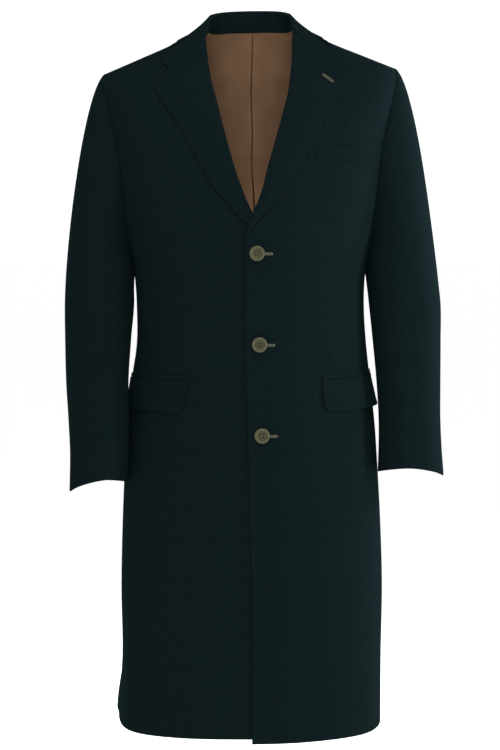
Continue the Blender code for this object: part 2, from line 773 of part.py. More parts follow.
def make_collar(name):
    """Collar: a stand at the neck that folds over into a leaf, with a free corner at each notch."""
    shares = np.linspace(0.0, 1.0, COLLAR_ROWS)
    right = half_collar(RIGHT, shares)
    left = half_collar(LEFT, shares)
    middle = np.concatenate([right[::-1], left[1:]])
    return (name, *thicken(middle, TURNED_CLOTH))


def turns_along(side, start_x, z, lengths):
    """Turns on the front at lengths along its ring from a starting point."""
    start = float(turn_of_x(side, start_x, z))
    turns = np.linspace(start, start + QUARTER, RING_SAMPLES)
    points = ring_point(side, turns, np.full_like(turns, z))
    run = np.concatenate([[0.0], np.cumsum(np.linalg.norm(np.diff(points, axis=0), axis=1))])
    return np.interp(lengths, run, turns)


def strip(side, start_x, top_z, rise, length, depth, height, thickness):
    """Strip on a front: its length runs along the ring and its depth down, lifted by a height."""
    along = np.linspace(0.0, length, depth.shape[1])
    turn = turns_along(side, start_x, top_z, along)[None, :]
    z = top_z + rise * (along / length)[None, :] - depth
    return on_front(side, turn, z, height + thickness), on_front(side, turn, z, height)


def make_welt(name, columns=13, rows=3):
    """Welt of the breast pocket on the left front."""
    depth = np.linspace(0.0, WELT_HEIGHT, rows)[:, None] * np.ones((1, columns))
    height = np.full_like(depth, LAY_GAP)
    sheets = strip(LEFT, WELT_FRONT_X, WELT_FRONT_Z, WELT_RISE, WELT_LENGTH, depth, height, WELT_THICK)
    return (name, *sheets)


def pocket_row(side):
    """Front end, rise and back lift of the pocket on a front."""
    row = list(POCKET["side"]).index(side)
    return [POCKET[name][row] for name in ("front_x", "rise", "back_lift")]


def make_jet(name, side, columns=17):
    """Narrow strip over a pocket flap."""
    front_x, rise, _ = pocket_row(side)
    depth = np.linspace(0.0, JET_HEIGHT, 2)[:, None] * np.ones((1, columns))
    height = np.full_like(depth, SEAM_GAP)
    return (name, *strip(side, front_x, JET_TOP_Z, rise, POCKET_LENGTH, depth, height, JET_THICK))


def make_flap(name, side, columns=17, rows=5):
    """Pocket flap with a rounded lower front corner, its back end standing off a little."""
    front_x, rise, back_lift = pocket_row(side)
    along = np.linspace(0.0, POCKET_LENGTH, columns)
    from_end = np.minimum(along, FLAP_CORNER)
    cut = FLAP_CORNER - np.sqrt(FLAP_CORNER**2 - (FLAP_CORNER - from_end) ** 2)
    down = np.linspace(0.0, 1.0, rows)[:, None]
    depth = down * (FLAP_HEIGHT - cut)[None, :]
    height = SEAM_GAP + back_lift * down**2 * ease(along, 0.0, POCKET_LENGTH)[None, :]
    top = JET_TOP_Z - JET_HEIGHT - SEAM_GAP
    return (name, *strip(side, front_x, top, rise, POCKET_LENGTH, depth, height, FLAP_THICK))


def make_button_mesh(material, cutters):
    """Mesh of one button, facing up: a turned profile with holes through it."""
    data = bpy.data.meshes.new("button_profile")
    points = [(radius, 0.0, height) for radius, height in zip(*BUTTON_PROFILE.values())]
    data.from_pydata(points, [(i, i + 1) for i in range(len(points) - 1)], [])
    turned = bpy.data.objects.new("button_turning", data)
    cutters.objects.link(turned)
    screw = turned.modifiers.new("Turn", "SCREW")
    screw.axis = "Z"
    screw.steps = BUTTON_STEPS
    screw.render_steps = BUTTON_STEPS
    screw.use_merge_vertices = True
    screw.merge_threshold = TINY / 10.0
    screw.use_normal_calculate = True
    for index in range(BUTTON_HOLES):
        angle = QUARTER * (index + 0.5)
        tool = bmesh.new()
        bmesh.ops.create_cone(
            tool,
            cap_ends=True,
            segments=BUTTON_HOLE_SIDES,
            radius1=BUTTON_HOLE_RADIUS,
            radius2=BUTTON_HOLE_RADIUS,
            depth=4.0 * BUTTON_PROFILE["height"].max(),
        )
        tool_data = bpy.data.meshes.new(f"button_hole_{index + 1}")
        tool.to_mesh(tool_data)
        tool.free()
        cutter = bpy.data.objects.new(f"button_hole_{index + 1}", tool_data)
        cutter.location = (BUTTON_HOLE_SPREAD * math.cos(angle), BUTTON_HOLE_SPREAD * math.sin(angle), 0.0)
        cutters.objects.link(cutter)
        cut = turned.modifiers.new(f"Hole {index + 1}", "BOOLEAN")
        cut.operation = "DIFFERENCE"
        cut.solver = "EXACT"
        cut.object = cutter
    bpy.context.view_layer.update()
    graph = bpy.context.evaluated_depsgraph_get()
    mesh = bpy.data.meshes.new_from_object(turned.evaluated_get(graph))
    mesh.name = "button"
    mesh.materials.clear()
    mesh.materials.append(material)
    return mesh


def make_button(name, mesh, x, z, collection):
    """One button on the left front, facing out from it."""
    turn = turn_of_x(LEFT, np.array([x]), np.array([z]))
    place = lean(on_front(LEFT, turn, np.array([z]), BUTTON_SHANK))[0]
    outward = body_normal(LEFT, ring_point(LEFT, turn, np.array([z])))[0]
    button = bpy.data.objects.new(name, mesh)
    button.location = place
    pitch = math.acos(outward[2])
    button.rotation_euler = (pitch, 0.0, math.atan2(outward[1], outward[0]) + QUARTER)
    collection.objects.link(button)


def clear_scene():
    """Remove what the scene holds at the start."""
    for item in list(bpy.data.objects):
        bpy.data.objects.remove(item, do_unlink=True)


def new_collection(name):
    """A collection of the scene."""
    collection = bpy.data.collections.new(name)
    bpy.context.scene.collection.children.link(collection)
    return collection


def main():
    """Build every piece of the coat."""
    clear_scene()
    coat = new_collection("topcoat")
    cutters = new_collection("topcoat_cutters")
    wool = make_material("wool", WOOL, WOOL_ROUGH)
    lining = make_material("lining", LINING, LINING_ROUGH)
    horn = make_material("horn", HORN, HORN_ROUGH)
    around = 2.0 * math.pi
    for word, side in SIDES.items():
        wall(*make_front(f"front_{word}", side), wool, coat)
        wall(*make_back(f"back_{word}", side), wool, coat)
        top = make_sleeve_piece(f"top_sleeve_{word}", side, HINDARM_SEAM, FOREARM_SEAM, 15)
        wall(*top, wool, coat)
        under = make_sleeve_piece(f"under_sleeve_{word}", side, FOREARM_SEAM, HINDARM_SEAM + around, 7)
        wall(*under, wool, coat)
        wall(*make_lapel(f"lapel_{word}", side), wool, coat)
        wall(*make_jet(f"pocket_jet_{word}", side), wool, coat)
        wall(*make_flap(f"pocket_flap_{word}", side), wool, coat)
        wall(*make_lining(f"back_lining_{word}", side), lining, coat)
    wall(*make_collar("collar"), wool, coat)
    wall(*make_welt("breast_welt"), wool, coat)
    mesh = make_button_mesh(horn, cutters)
    for word, x, z in zip(("top", "middle", "bottom"), BUTTONS["x"], BUTTONS["z"]):
        make_button(f"button_{word}", mesh, x, z, coat)
    for helper in cutters.objects:
        helper.hide_render = True
        helper.display_type = "WIRE"


if __name__ == "__main__":
    main()
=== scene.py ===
"""Looks of a single-breasted topcoat in the form of a worn one: cloth shells, sewn details, studio, camera.

Metres, +Z up, the front towards -Y and the wearer's left towards +X. Every cloth piece is a thin shell on
the form of the solid that it stands for, worked out on a finer grid, with its seams, darts and creases.

The body is a stack of level rings. A ring is a squared ellipse with its own half-width on each side and its
own depth in front and behind. A turn of 0 is the centre front, a quarter turn is the side and a half turn is
the centre back.
"""

import logging
import math
from dataclasses import dataclass
from enum import Enum
from typing import ClassVar

import bpy
import numpy as np
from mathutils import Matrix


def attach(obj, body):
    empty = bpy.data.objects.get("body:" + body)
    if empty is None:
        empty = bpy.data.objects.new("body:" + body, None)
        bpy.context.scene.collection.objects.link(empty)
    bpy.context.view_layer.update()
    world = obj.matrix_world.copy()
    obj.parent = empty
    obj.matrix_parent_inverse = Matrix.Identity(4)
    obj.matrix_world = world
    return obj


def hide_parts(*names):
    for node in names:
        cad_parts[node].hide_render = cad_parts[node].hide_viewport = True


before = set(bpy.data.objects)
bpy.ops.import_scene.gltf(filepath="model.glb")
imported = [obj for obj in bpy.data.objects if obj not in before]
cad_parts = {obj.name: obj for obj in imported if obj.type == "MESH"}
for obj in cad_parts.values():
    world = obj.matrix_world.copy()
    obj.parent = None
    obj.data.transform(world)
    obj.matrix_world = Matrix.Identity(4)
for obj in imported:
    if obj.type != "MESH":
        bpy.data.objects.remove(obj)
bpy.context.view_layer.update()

LOG = logging.getLogger("topcoat")

Array = np.ndarray
Table = dict[str, Array]
Pair = tuple[float, float]
Triple = tuple[float, float, float]
Edges = tuple[float, float, float, float]
Counts = tuple[int, int, int, int]
Object = bpy.types.Object
Material = bpy.types.Material
Socket = bpy.types.NodeSocket

QUARTER = math.pi / 2.0
TINY = 1e-4
UP = np.array([0.0, 0.0, 1.0])

# Cloth and the gaps between its layers
CLOTH = 0.0020
TURNED_CLOTH = 0.0022
LINING_CLOTH = 0.0010
LAY_GAP = 0.0011

# Turned edge of the collar and lapels
ROLL = CLOTH / 2.0 + LAY_GAP + TURNED_CLOTH / 2.0
ROLL_REACH = ROLL + TURNED_CLOTH / 2.0
INNER_LEAF = 0.005
EDGE_GAP = 0.0003

# How far from a border its rounding starts: at a seam, a free edge, a pressed edge and the lining's edge
SEAM_ROUND = 0.0004
FREE_ROUND = 0.0010
PRESSED_ROUND = 0.0022
LINING_ROUND = 0.0005

# Points of a rounding, and the share of a turned leaf that its roll takes up
ROUND_STEPS = 4
ROLL_SHARE = 0.02


class Side(Enum):
    """Side of the wearer, with its sign along X."""

    LEFT = 1
    RIGHT = -1

    @property
    def word(self) -> str:
        """The side's name in a piece's name."""
        return self.name.lower()


class Stuff(Enum):
    """What a piece is made of, by the name of its material."""

    WOOL = "wool"
    LINING = "lining"
    HORN = "horn"


class Held(Enum):
    """How a sheet of cloth is held."""

    HUNG = "hung"
    FOLDED = "folded"
    LAID = "laid"


def table(columns: str, *rows: tuple[float, ...]) -> Table:
    """A short table as a dict from column name to the column's values.

    Args:
        columns: Names of the columns, with spaces between.
        rows: One tuple of numbers for each row.

    Returns:
        The columns by name.
    """
    return dict(zip(columns.split(), np.array(rows, float).T))


# Half-width of the body from the hem to the shoulder
WIDTHS = table(
    "z right left",
    (-1.090, 0.2035, 0.2035),
    (-0.968, 0.1990, 0.2040),
    (-0.860, 0.2005, 0.2058),
    (-0.763, 0.1985, 0.2030),
    (-0.680, 0.1950, 0.1985),
    (-0.606, 0.1905, 0.1935),
    (-0.543, 0.1840, 0.1865),
    (-0.481, 0.1755, 0.1798),
    (-0.434, 0.1755, 0.1768),
    (-0.400, 0.1770, 0.1770),
    (-0.368, 0.1805, 0.1800),
    (-0.342, 0.1865, 0.1865),
    (-0.303, 0.1960, 0.1960),
    (-0.250, 0.2055, 0.2055),
    (-0.200, 0.2130, 0.2130),
    (-0.164, 0.2183, 0.2183),
    (-0.125, 0.2232, 0.2232),
    (-0.090, 0.2262, 0.2262),
    (-0.064, 0.2245, 0.2245),
)

# Depth of the body, where its side lies, and how square its ring is
DEPTHS = table(
    "z front back side square",
    (-1.090, -0.168, 0.167, 0.000, 2.9),
    (-0.960, -0.161, 0.161, 0.000, 2.8),
    (-0.727, -0.152, 0.153, 0.000, 2.6),
    (-0.627, -0.148, 0.146, 0.000, 2.5),
    (-0.540, -0.144, 0.131, 0.000, 2.4),
    (-0.447, -0.143, 0.120, 0.000, 2.4),
    (-0.356, -0.148, 0.131, 0.004, 2.4),
    (-0.279, -0.143, 0.138, 0.007, 2.4),
    (-0.198, -0.125, 0.136, 0.009, 2.4),
    (-0.115, -0.094, 0.120, 0.010, 2.8),
    (-0.064, -0.064, 0.100, 0.010, 3.1),
    (-0.014, -0.030, 0.075, 0.009, 2.6),
    (0.000, -0.020, 0.065, 0.009, 2.4),
)

# The shoulder seam, from the armhole up to the neck
SHOULDER = table(
    "z half",
    (-0.0640, 0.2245),
    (-0.0525, 0.1970),
    (-0.0375, 0.1615),
    (-0.0233, 0.1272),
    (-0.0110, 0.0985),
    (0.0000, 0.0755),
)

# Finished front edge and roll line, measured from the middle towards the front's own side
FRONT_EDGE = {
    Side.LEFT: table(
        "z x",
        (-1.090, 0.0030),
        (-0.863, 0.0030),
        (-0.713, -0.0007),
        (-0.618, -0.0030),
        (-0.482, -0.0074),
        (-0.400, -0.0074),
        (-0.327, -0.0059),
        (-0.306, -0.0044),
        (-0.2854, 0.0044),
        (-0.2676, 0.0119),
        (-0.2154, 0.0268),
        (-0.1626, 0.0418),
        (-0.1100, 0.0556),
        (-0.0626, 0.0622),
        (-0.0147, 0.0644),
        (0.0000, 0.0680),
    ),
    Side.RIGHT: table(
        "z x",
        (-1.090, -0.0320),
        (-0.618, -0.0380),
        (-0.400, -0.0320),
        (-0.336, -0.0285),
        (-0.306, -0.0160),
        (-0.2854, -0.0044),
        (-0.2528, 0.0089),
        (-0.1929, 0.0283),
        (-0.1312, 0.0450),
        (-0.0766, 0.0589),
        (-0.0361, 0.0647),
        (-0.0122, 0.0675),
        (0.0000, 0.0695),
    ),
}

# Where each row of a lapel leaves the roll line, and where it ends on the lapel's edge
LAPEL_ROWS = {
    Side.LEFT: table(
        "roll_z edge_x edge_z",
        (-0.3240, -0.0048, -0.3250),
        (-0.3140, -0.0010, -0.3160),
        (-0.3030, 0.0050, -0.3080),
        (-0.2850, 0.0140, -0.2960),
        (-0.2600, 0.0297, -0.2780),
        (-0.2250, 0.0520, -0.2530),
        (-0.1860, 0.0745, -0.2236),
        (-0.1450, 0.0926, -0.1890),
        (-0.1100, 0.1048, -0.1635),
        (-0.0740, 0.1290, -0.1165),
        (-0.0420, 0.1418, -0.0930),
        (-0.0147, 0.1443, -0.0757),
    ),
    Side.RIGHT: table(
        "roll_z edge_x edge_z",
        (-0.3080, -0.0085, -0.3205),
        (-0.2950, -0.0005, -0.3105),
        (-0.2800, 0.0070, -0.3020),
        (-0.2560, 0.0150, -0.2930),
        (-0.2220, 0.0297, -0.2776),
        (-0.1860, 0.0521, -0.2518),
        (-0.1450, 0.0746, -0.2140),
        (-0.1100, 0.0973, -0.1680),
        (-0.0740, 0.1175, -0.1380),
        (-0.0420, 0.1365, -0.1080),
        (-0.0150, 0.1461, -0.0870),
    ),
}

# Where the gorge seam ends and the collar's free corner lies
NOTCH = {
    Side.LEFT: {"vertex": (0.1217, -0.0552), "corner": (0.1403, -0.0462)},
    Side.RIGHT: {"vertex": (0.1213, -0.0621), "corner": (0.1356, -0.0514)},
}

# One half of the collar: its neck seam, fold and outer edge, and whether that edge lies behind
COLLAR_ROWS = table(
    "share seam_x seam_y seam_z fold_x fold_y fold_z edge_x edge_z behind",
    (0.00, 0.0000, 0.0640, 0.0006, 0.0000, 0.0575, 0.0325, 0.0000, -0.0160, 1),
    (0.20, 0.0400, 0.0558, 0.0006, 0.0340, 0.0505, 0.0308, 0.0520, -0.0165, 1),
    (0.40, 0.0655, 0.0350, 0.0006, 0.0540, 0.0320, 0.0258, 0.0990, -0.0195, 1),
    (0.55, 0.0725, 0.0095, 0.0010, 0.0605, 0.0100, 0.0190, 0.1130, -0.0222, 0),
    (0.78, 0.0690, -0.0090, -0.0080, 0.0650, -0.0090, 0.0030, 0.1300, -0.0370, 0),
)

# The arm below the sleeve's head: its two outlines, and its middle and half-depth front to back
ARM = {
    Side.LEFT: table(
        "z outer inner middle depth",
        (-0.715, 0.2990, 0.1975, -0.050, 0.051),
        (-0.679, 0.2970, 0.1985, -0.048, 0.051),
        (-0.648, 0.2948, 0.1997, -0.045, 0.052),
        (-0.603, 0.2931, 0.2002, -0.038, 0.054),
        (-0.542, 0.2937, 0.1972, -0.027, 0.059),
        (-0.480, 0.2948, 0.1920, -0.014, 0.064),
        (-0.419, 0.2949, 0.1860, -0.003, 0.070),
        (-0.400, 0.2930, 0.1840, 0.000, 0.073),
        (-0.340, 0.2860, 0.1750, 0.006, 0.078),
    ),
    Side.RIGHT: table(
        "z outer inner middle depth",
        (-0.730, 0.2755, 0.1905, -0.081, 0.050),
        (-0.694, 0.2745, 0.1890, -0.079, 0.050),
        (-0.648, 0.2740, 0.1868, -0.075, 0.053),
        (-0.603, 0.2765, 0.1868, -0.068, 0.056),
        (-0.542, 0.2810, 0.1880, -0.055, 0.060),
        (-0.480, 0.2844, 0.1854, -0.030, 0.064),
        (-0.419, 0.2862, 0.1814, -0.010, 0.070),
        (-0.400, 0.2858, 0.1818, -0.006, 0.073),
        (-0.340, 0.2815, 0.1735, 0.004, 0.078),
    ),
}

# Cuff edge: its level, its slant from inner to outer side, and how far it rises in front and behind
CUFF = {
    Side.LEFT: {"z": -0.6845, "slant": -0.0036, "front": 0.0122, "back": 0.0030},
    Side.RIGHT: {"z": -0.7015, "slant": -0.0078, "front": 0.0140, "back": 0.0030},
}

# Soft folds of the skirt: where they stand, how wide and deep they are, and where they start
FOLDS = table(
    "side turn_degrees width_degrees depth top_z",
    (-1, 106.0, 13.0, 0.0165, -0.930),
    (-1, 150.0, 13.0, 0.0060, -0.700),
    (-1, 58.0, 14.0, 0.0030, -0.780),
    (1, 116.0, 15.0, 0.0040, -0.820),
    (1, 148.0, 13.0, 0.0060, -0.700),
    (1, 56.0, 14.0, 0.0030, -0.760),
)

# Creases of the body: their middle, how far they lean from upright, their length, width and height
BODY_CREASES = table(
    "side turn_degrees z lean_degrees length width height",
    (1, 62.0, -0.300, 6.0, 0.085, 0.014, -0.0013),
    (-1, 64.0, -0.295, -4.0, 0.080, 0.013, -0.0012),
    (1, 44.0, -0.395, 62.0, 0.050, 0.012, -0.0006),
    (-1, 40.0, -0.410, -58.0, 0.055, 0.013, -0.0006),
    (1, 24.0, -0.860, 3.0, 0.170, 0.020, -0.0009),
    (-1, 30.0, -0.880, -5.0, 0.150, 0.022, -0.0011),
    (1, 128.0, -0.290, 12.0, 0.095, 0.016, 0.0020),
    (-1, 126.0, -0.285, -9.0, 0.090, 0.015, 0.0018),
    (1, 142.0, -0.455, 64.0, 0.062, 0.013, -0.0014),
    (-1, 146.0, -0.470, -66.0, 0.055, 0.012, -0.0012),
    (1, 156.0, -0.495, 58.0, 0.048, 0.011, 0.0010),
    (-1, 158.0, -0.430, -54.0, 0.060, 0.012, 0.0011),
    (1, 132.0, -0.800, 2.0, 0.180, 0.024, -0.0018),
    (-1, 128.0, -0.830, -3.0, 0.165, 0.022, -0.0016),
)

# Creases of the sleeves: round the arm from its outer side, along it from armhole 0 to cuff 2
SLEEVE_CREASES = table(
    "side around_degrees along lean_degrees length width height",
    (1, 128.0, 1.06, 78.0, 0.034, 0.0080, -0.0016),
    (1, 118.0, 1.15, 68.0, 0.040, 0.0085, -0.0013),
    (1, 134.0, 1.27, 58.0, 0.030, 0.0090, -0.0010),
    (1, -72.0, 1.10, 70.0, 0.045, 0.0100, -0.0012),
    (1, -58.0, 1.22, 76.0, 0.038, 0.0095, 0.0010),
    (1, 60.0, 0.52, 24.0, 0.070, 0.0150, -0.0011),
    (-1, 124.0, 1.09, 74.0, 0.036, 0.0085, -0.0016),
    (-1, 132.0, 1.20, 64.0, 0.034, 0.0080, -0.0012),
    (-1, 114.0, 1.31, 72.0, 0.042, 0.0095, -0.0011),
    (-1, -66.0, 1.13, 66.0, 0.042, 0.0100, -0.0013),
    (-1, -80.0, 1.26, 72.0, 0.034, 0.0090, 0.0010),
    (-1, 66.0, 0.55, 20.0, 0.075, 0.0150, -0.0012),
)

# Long front darts, from the chest down to the pocket
DART = {
    Side.LEFT: table("z x", (-0.529, 0.1180), (-0.416, 0.1194), (-0.341, 0.1220), (-0.268, 0.1252)),
    Side.RIGHT: table("z x", (-0.529, 0.1062), (-0.416, 0.1090), (-0.341, 0.1125), (-0.262, 0.1162)),
}

# Pocket on each front: where its front end lies, and how its line rises towards the side
POCKET = {
    Side.LEFT: {"front_x": 0.1079, "rise": 0.0045, "back_lift": 0.0055},
    Side.RIGHT: {"front_x": 0.0942, "rise": -0.0010, "back_lift": 0.0000},
}

# Button places on the left front
BUTTON_PLACES = {
    "top": (0.0104, -0.3468),
    "middle": (0.0141, -0.4823),
    "bottom": (0.0179, -0.6179),
}

# Ends of the lapel's buttonhole, and how far it stands off the front
LAPEL_HOLE = ((0.1098, -0.0796), (0.1246, -0.0901))
LAPEL_HOLE_LIFT = TURNED_CLOTH + 0.0018

# Least length that a sheet may state, more than the 6.6 mm of a pocket jet
LEAST_FLAT = 0.010

# Flat width, length and area of every cut piece, measured along its sheet
CUTS = {
    "front_left": (0.309, 1.161, 0.2795),
    "front_right": (0.343, 1.159, 0.3025),
    "back_left": (0.337, 1.160, 0.3000),
    "back_right": (0.345, 1.160, 0.2980),
    "back_lining_left": (0.234, 0.771, 0.1355),
    "back_lining_right": (0.251, 0.771, 0.1494),
    "top_sleeve_left": (0.285, 0.642, 0.1459),
    "top_sleeve_right": (0.279, 0.670, 0.1484),
    "under_sleeve_left": (0.174, 0.435, 0.0418),
    "under_sleeve_right": (0.174, 0.458, 0.0430),
    "lapel_left": (0.121, 0.356, 0.0203),
    "lapel_right": (0.130, 0.340, 0.0200),
    "collar": (0.475, 0.120, 0.0287),
    "breast_welt": (0.094, 0.023, 0.0021),
    "pocket_jet_left": (0.157, LEAST_FLAT, 0.00102),
    "pocket_jet_right": (0.157, LEAST_FLAT, 0.00102),
    "pocket_flap_left": (0.170, 0.049, 0.0077),
    "pocket_flap_right": (0.167, 0.048, 0.0076),
}

# Where the shade of a cloudy pattern starts and ends to change
MIDDLE_SPAN = (0.35, 0.65)

# Attribute that is 1 on a button's rim and 0 in its dish, where the horn is darkened with painted shade
RIM = "rim"

# Centre seam of the back lining: how far it lies to the left of the middle
PLEAT_LINE = table(
    "z x",
    (-0.800, 0.0035),
    (-0.450, 0.0060),
    (-0.330, 0.0095),
    (-0.279, 0.0089),
    (-0.246, 0.0070),
    (-0.222, 0.0049),
    (-0.190, 0.0041),
    (-0.157, 0.0049),
    (-0.092, 0.0029),
    (-0.045, 0.0042),
    (0.010, 0.0052),
)

# Half outline of a button from its middle, over its rim, to its back
BUTTON_PROFILE = table(
    "radius height",
    (0.0000, 0.0014),
    (0.0030, 0.0015),
    (0.0056, 0.0019),
    (0.0076, 0.0030),
    (0.0085, 0.0036),
    (0.0094, 0.0039),
    (0.0107, 0.0036),
    (0.0114, 0.0026),
    (0.0113, 0.0017),
    (0.0104, 0.0009),
    (0.0080, 0.0001),
    (0.0000, 0.0000),
)


def cubic(t: Array, start: Array, leave: Array, end: Array, arrive: Array) -> Array:
    """A cubic curve from a start to an end, t from 0 to 1, with its slope at either.

    Args:
        t: Shares of the way.
        start: Value at 0.
        leave: Slope at 0.
        end: Value at 1.
        arrive: Slope at 1.

    Returns:
        The curve's values.
    """
    back = 1.0 - t
    return (
        (1.0 + 2.0 * t) * back**2 * start
        + t * back**2 * leave
        + t**2 * (3.0 - 2.0 * t) * end
        - t**2 * back * arrive
    )


def smooth(at: Array, places: Array, values: Array) -> Array:
    """A cubic curve through a table's rows, with slopes from the neighbouring rows.

    Args:
        at: Places to read it at.
        places: Places of the rows, rising.
        values: Values of the rows.

    Returns:
        The curve's values.
    """
    at = np.asarray(at, float)
    slopes = np.gradient(values, places)
    row = np.clip(np.searchsorted(places, at) - 1, 0, len(places) - 2)
    span = places[row + 1] - places[row]
    t = np.clip((at - places[row]) / span, 0.0, 1.0)
    return cubic(t, values[row], span * slopes[row], values[row + 1], span * slopes[row + 1])


def read(rows: Table, at: Array, name: str) -> Array:
    """A curve through one column of a table, over its first column."""
    return smooth(at, next(iter(rows.values())), rows[name])


def ease(at: Array, start: float, end: float) -> Array:
    """A soft step: 3 t^2 - 2 t^3 with t from 0 at the start to 1 at the end.

    Args:
        at: Places to read it at.
        start: Where it leaves 0.
        end: Where it reaches 1.

    Returns:
        Values from 0 to 1.
    """
    t = np.clip((np.asarray(at, float) - start) / (end - start), 0.0, 1.0)
    return t * t * (3.0 - 2.0 * t)


def unit(vectors: Array) -> Array:
    """The same vectors at length one."""
    return vectors / np.linalg.norm(vectors, axis=-1, keepdims=True)


def across_to(vectors: Array, along: Array) -> Array:
    """What is left of the vectors, at length one, once their share along a unit direction is taken out."""
    return unit(vectors - along * np.sum(vectors * along, axis=-1, keepdims=True))


def sheet_normals(points: Array) -> Array:
    """Normals of a grid of points: the cross product of its steps along rows and columns."""
    return unit(np.cross(np.gradient(points, axis=0), np.gradient(points, axis=1)))


def run_lengths(points: Array, axis: int) -> Array:
    """Length run from the first row or column of a grid to each point.

    Args:
        points: Rows by columns of points.
        axis: 0 to run down the columns, 1 to run along the rows.

    Returns:
        Rows by columns of lengths.
    """
    steps = np.linalg.norm(np.diff(points, axis=axis), axis=-1)
    start = np.zeros_like(np.take(steps, [0], axis=axis))
    return np.concatenate([start, np.cumsum(steps, axis=axis)], axis=axis)


def edged_steps(count: int, length: float, first: float = FREE_ROUND, last: float = FREE_ROUND) -> Array:
    """Shares from 0 to 1, even in the middle and drawn together over the rounding at both ends.

    Args:
        count: Number of even steps.
        length: Length that the shares stand for.
        first: Rounding length at the start.
        last: Rounding length at the end.

    Returns:
        Rising shares.
    """
    curve = 1.0 - np.cos(np.linspace(0.0, QUARTER, ROUND_STEPS))[:-1]
    even = np.linspace(first, length - last, count)
    return np.concatenate([first * curve, even, length - last * curve[::-1]]) / length


def leaf_steps(count: int, length: float) -> Array:
    """Shares of the way over a turned leaf, less those that its roll takes up."""
    shares = edged_steps(count, length, FREE_ROUND, PRESSED_ROUND)
    return shares[shares > ROLL_SHARE]


def leaf_height(share: Array) -> Array:
    """Height of a turned leaf's middle over the front: it lies closer from its roll to its edge.

    Args:
        share: Share of the way from the roll to the edge.

    Returns:
        Half the leaf's thickness and the gap under it.
    """
    return TURNED_CLOTH / 2.0 + EDGE_GAP + (LAY_GAP - EDGE_GAP) * (1.0 - share)


def crease_height(rows: Table, side: Side, along: Array, across: Array) -> Array:
    """Sum of creases: each is height * exp(-(u / width)^2 - (v / length)^2) in its own leaning axes.

    Args:
        rows: Table of the creases, with their lean, length, width and height.
        side: Side whose creases are wanted.
        along: Distance from each crease's middle, upwards, the creases on the last axis.
        across: Distance from each crease's middle, towards the back, in the same way.

    Returns:
        How far the cloth stands out at each place.
    """
    lean = np.radians(rows["lean_degrees"])
    v = along * np.cos(lean) + across * np.sin(lean)
    u = across * np.cos(lean) - along * np.sin(lean)
    height = np.where(rows["side"] == side.value, rows["height"], 0.0)
    return np.sum(height * np.exp(-((u / rows["width"]) ** 2) - (v / rows["length"]) ** 2), axis=-1)


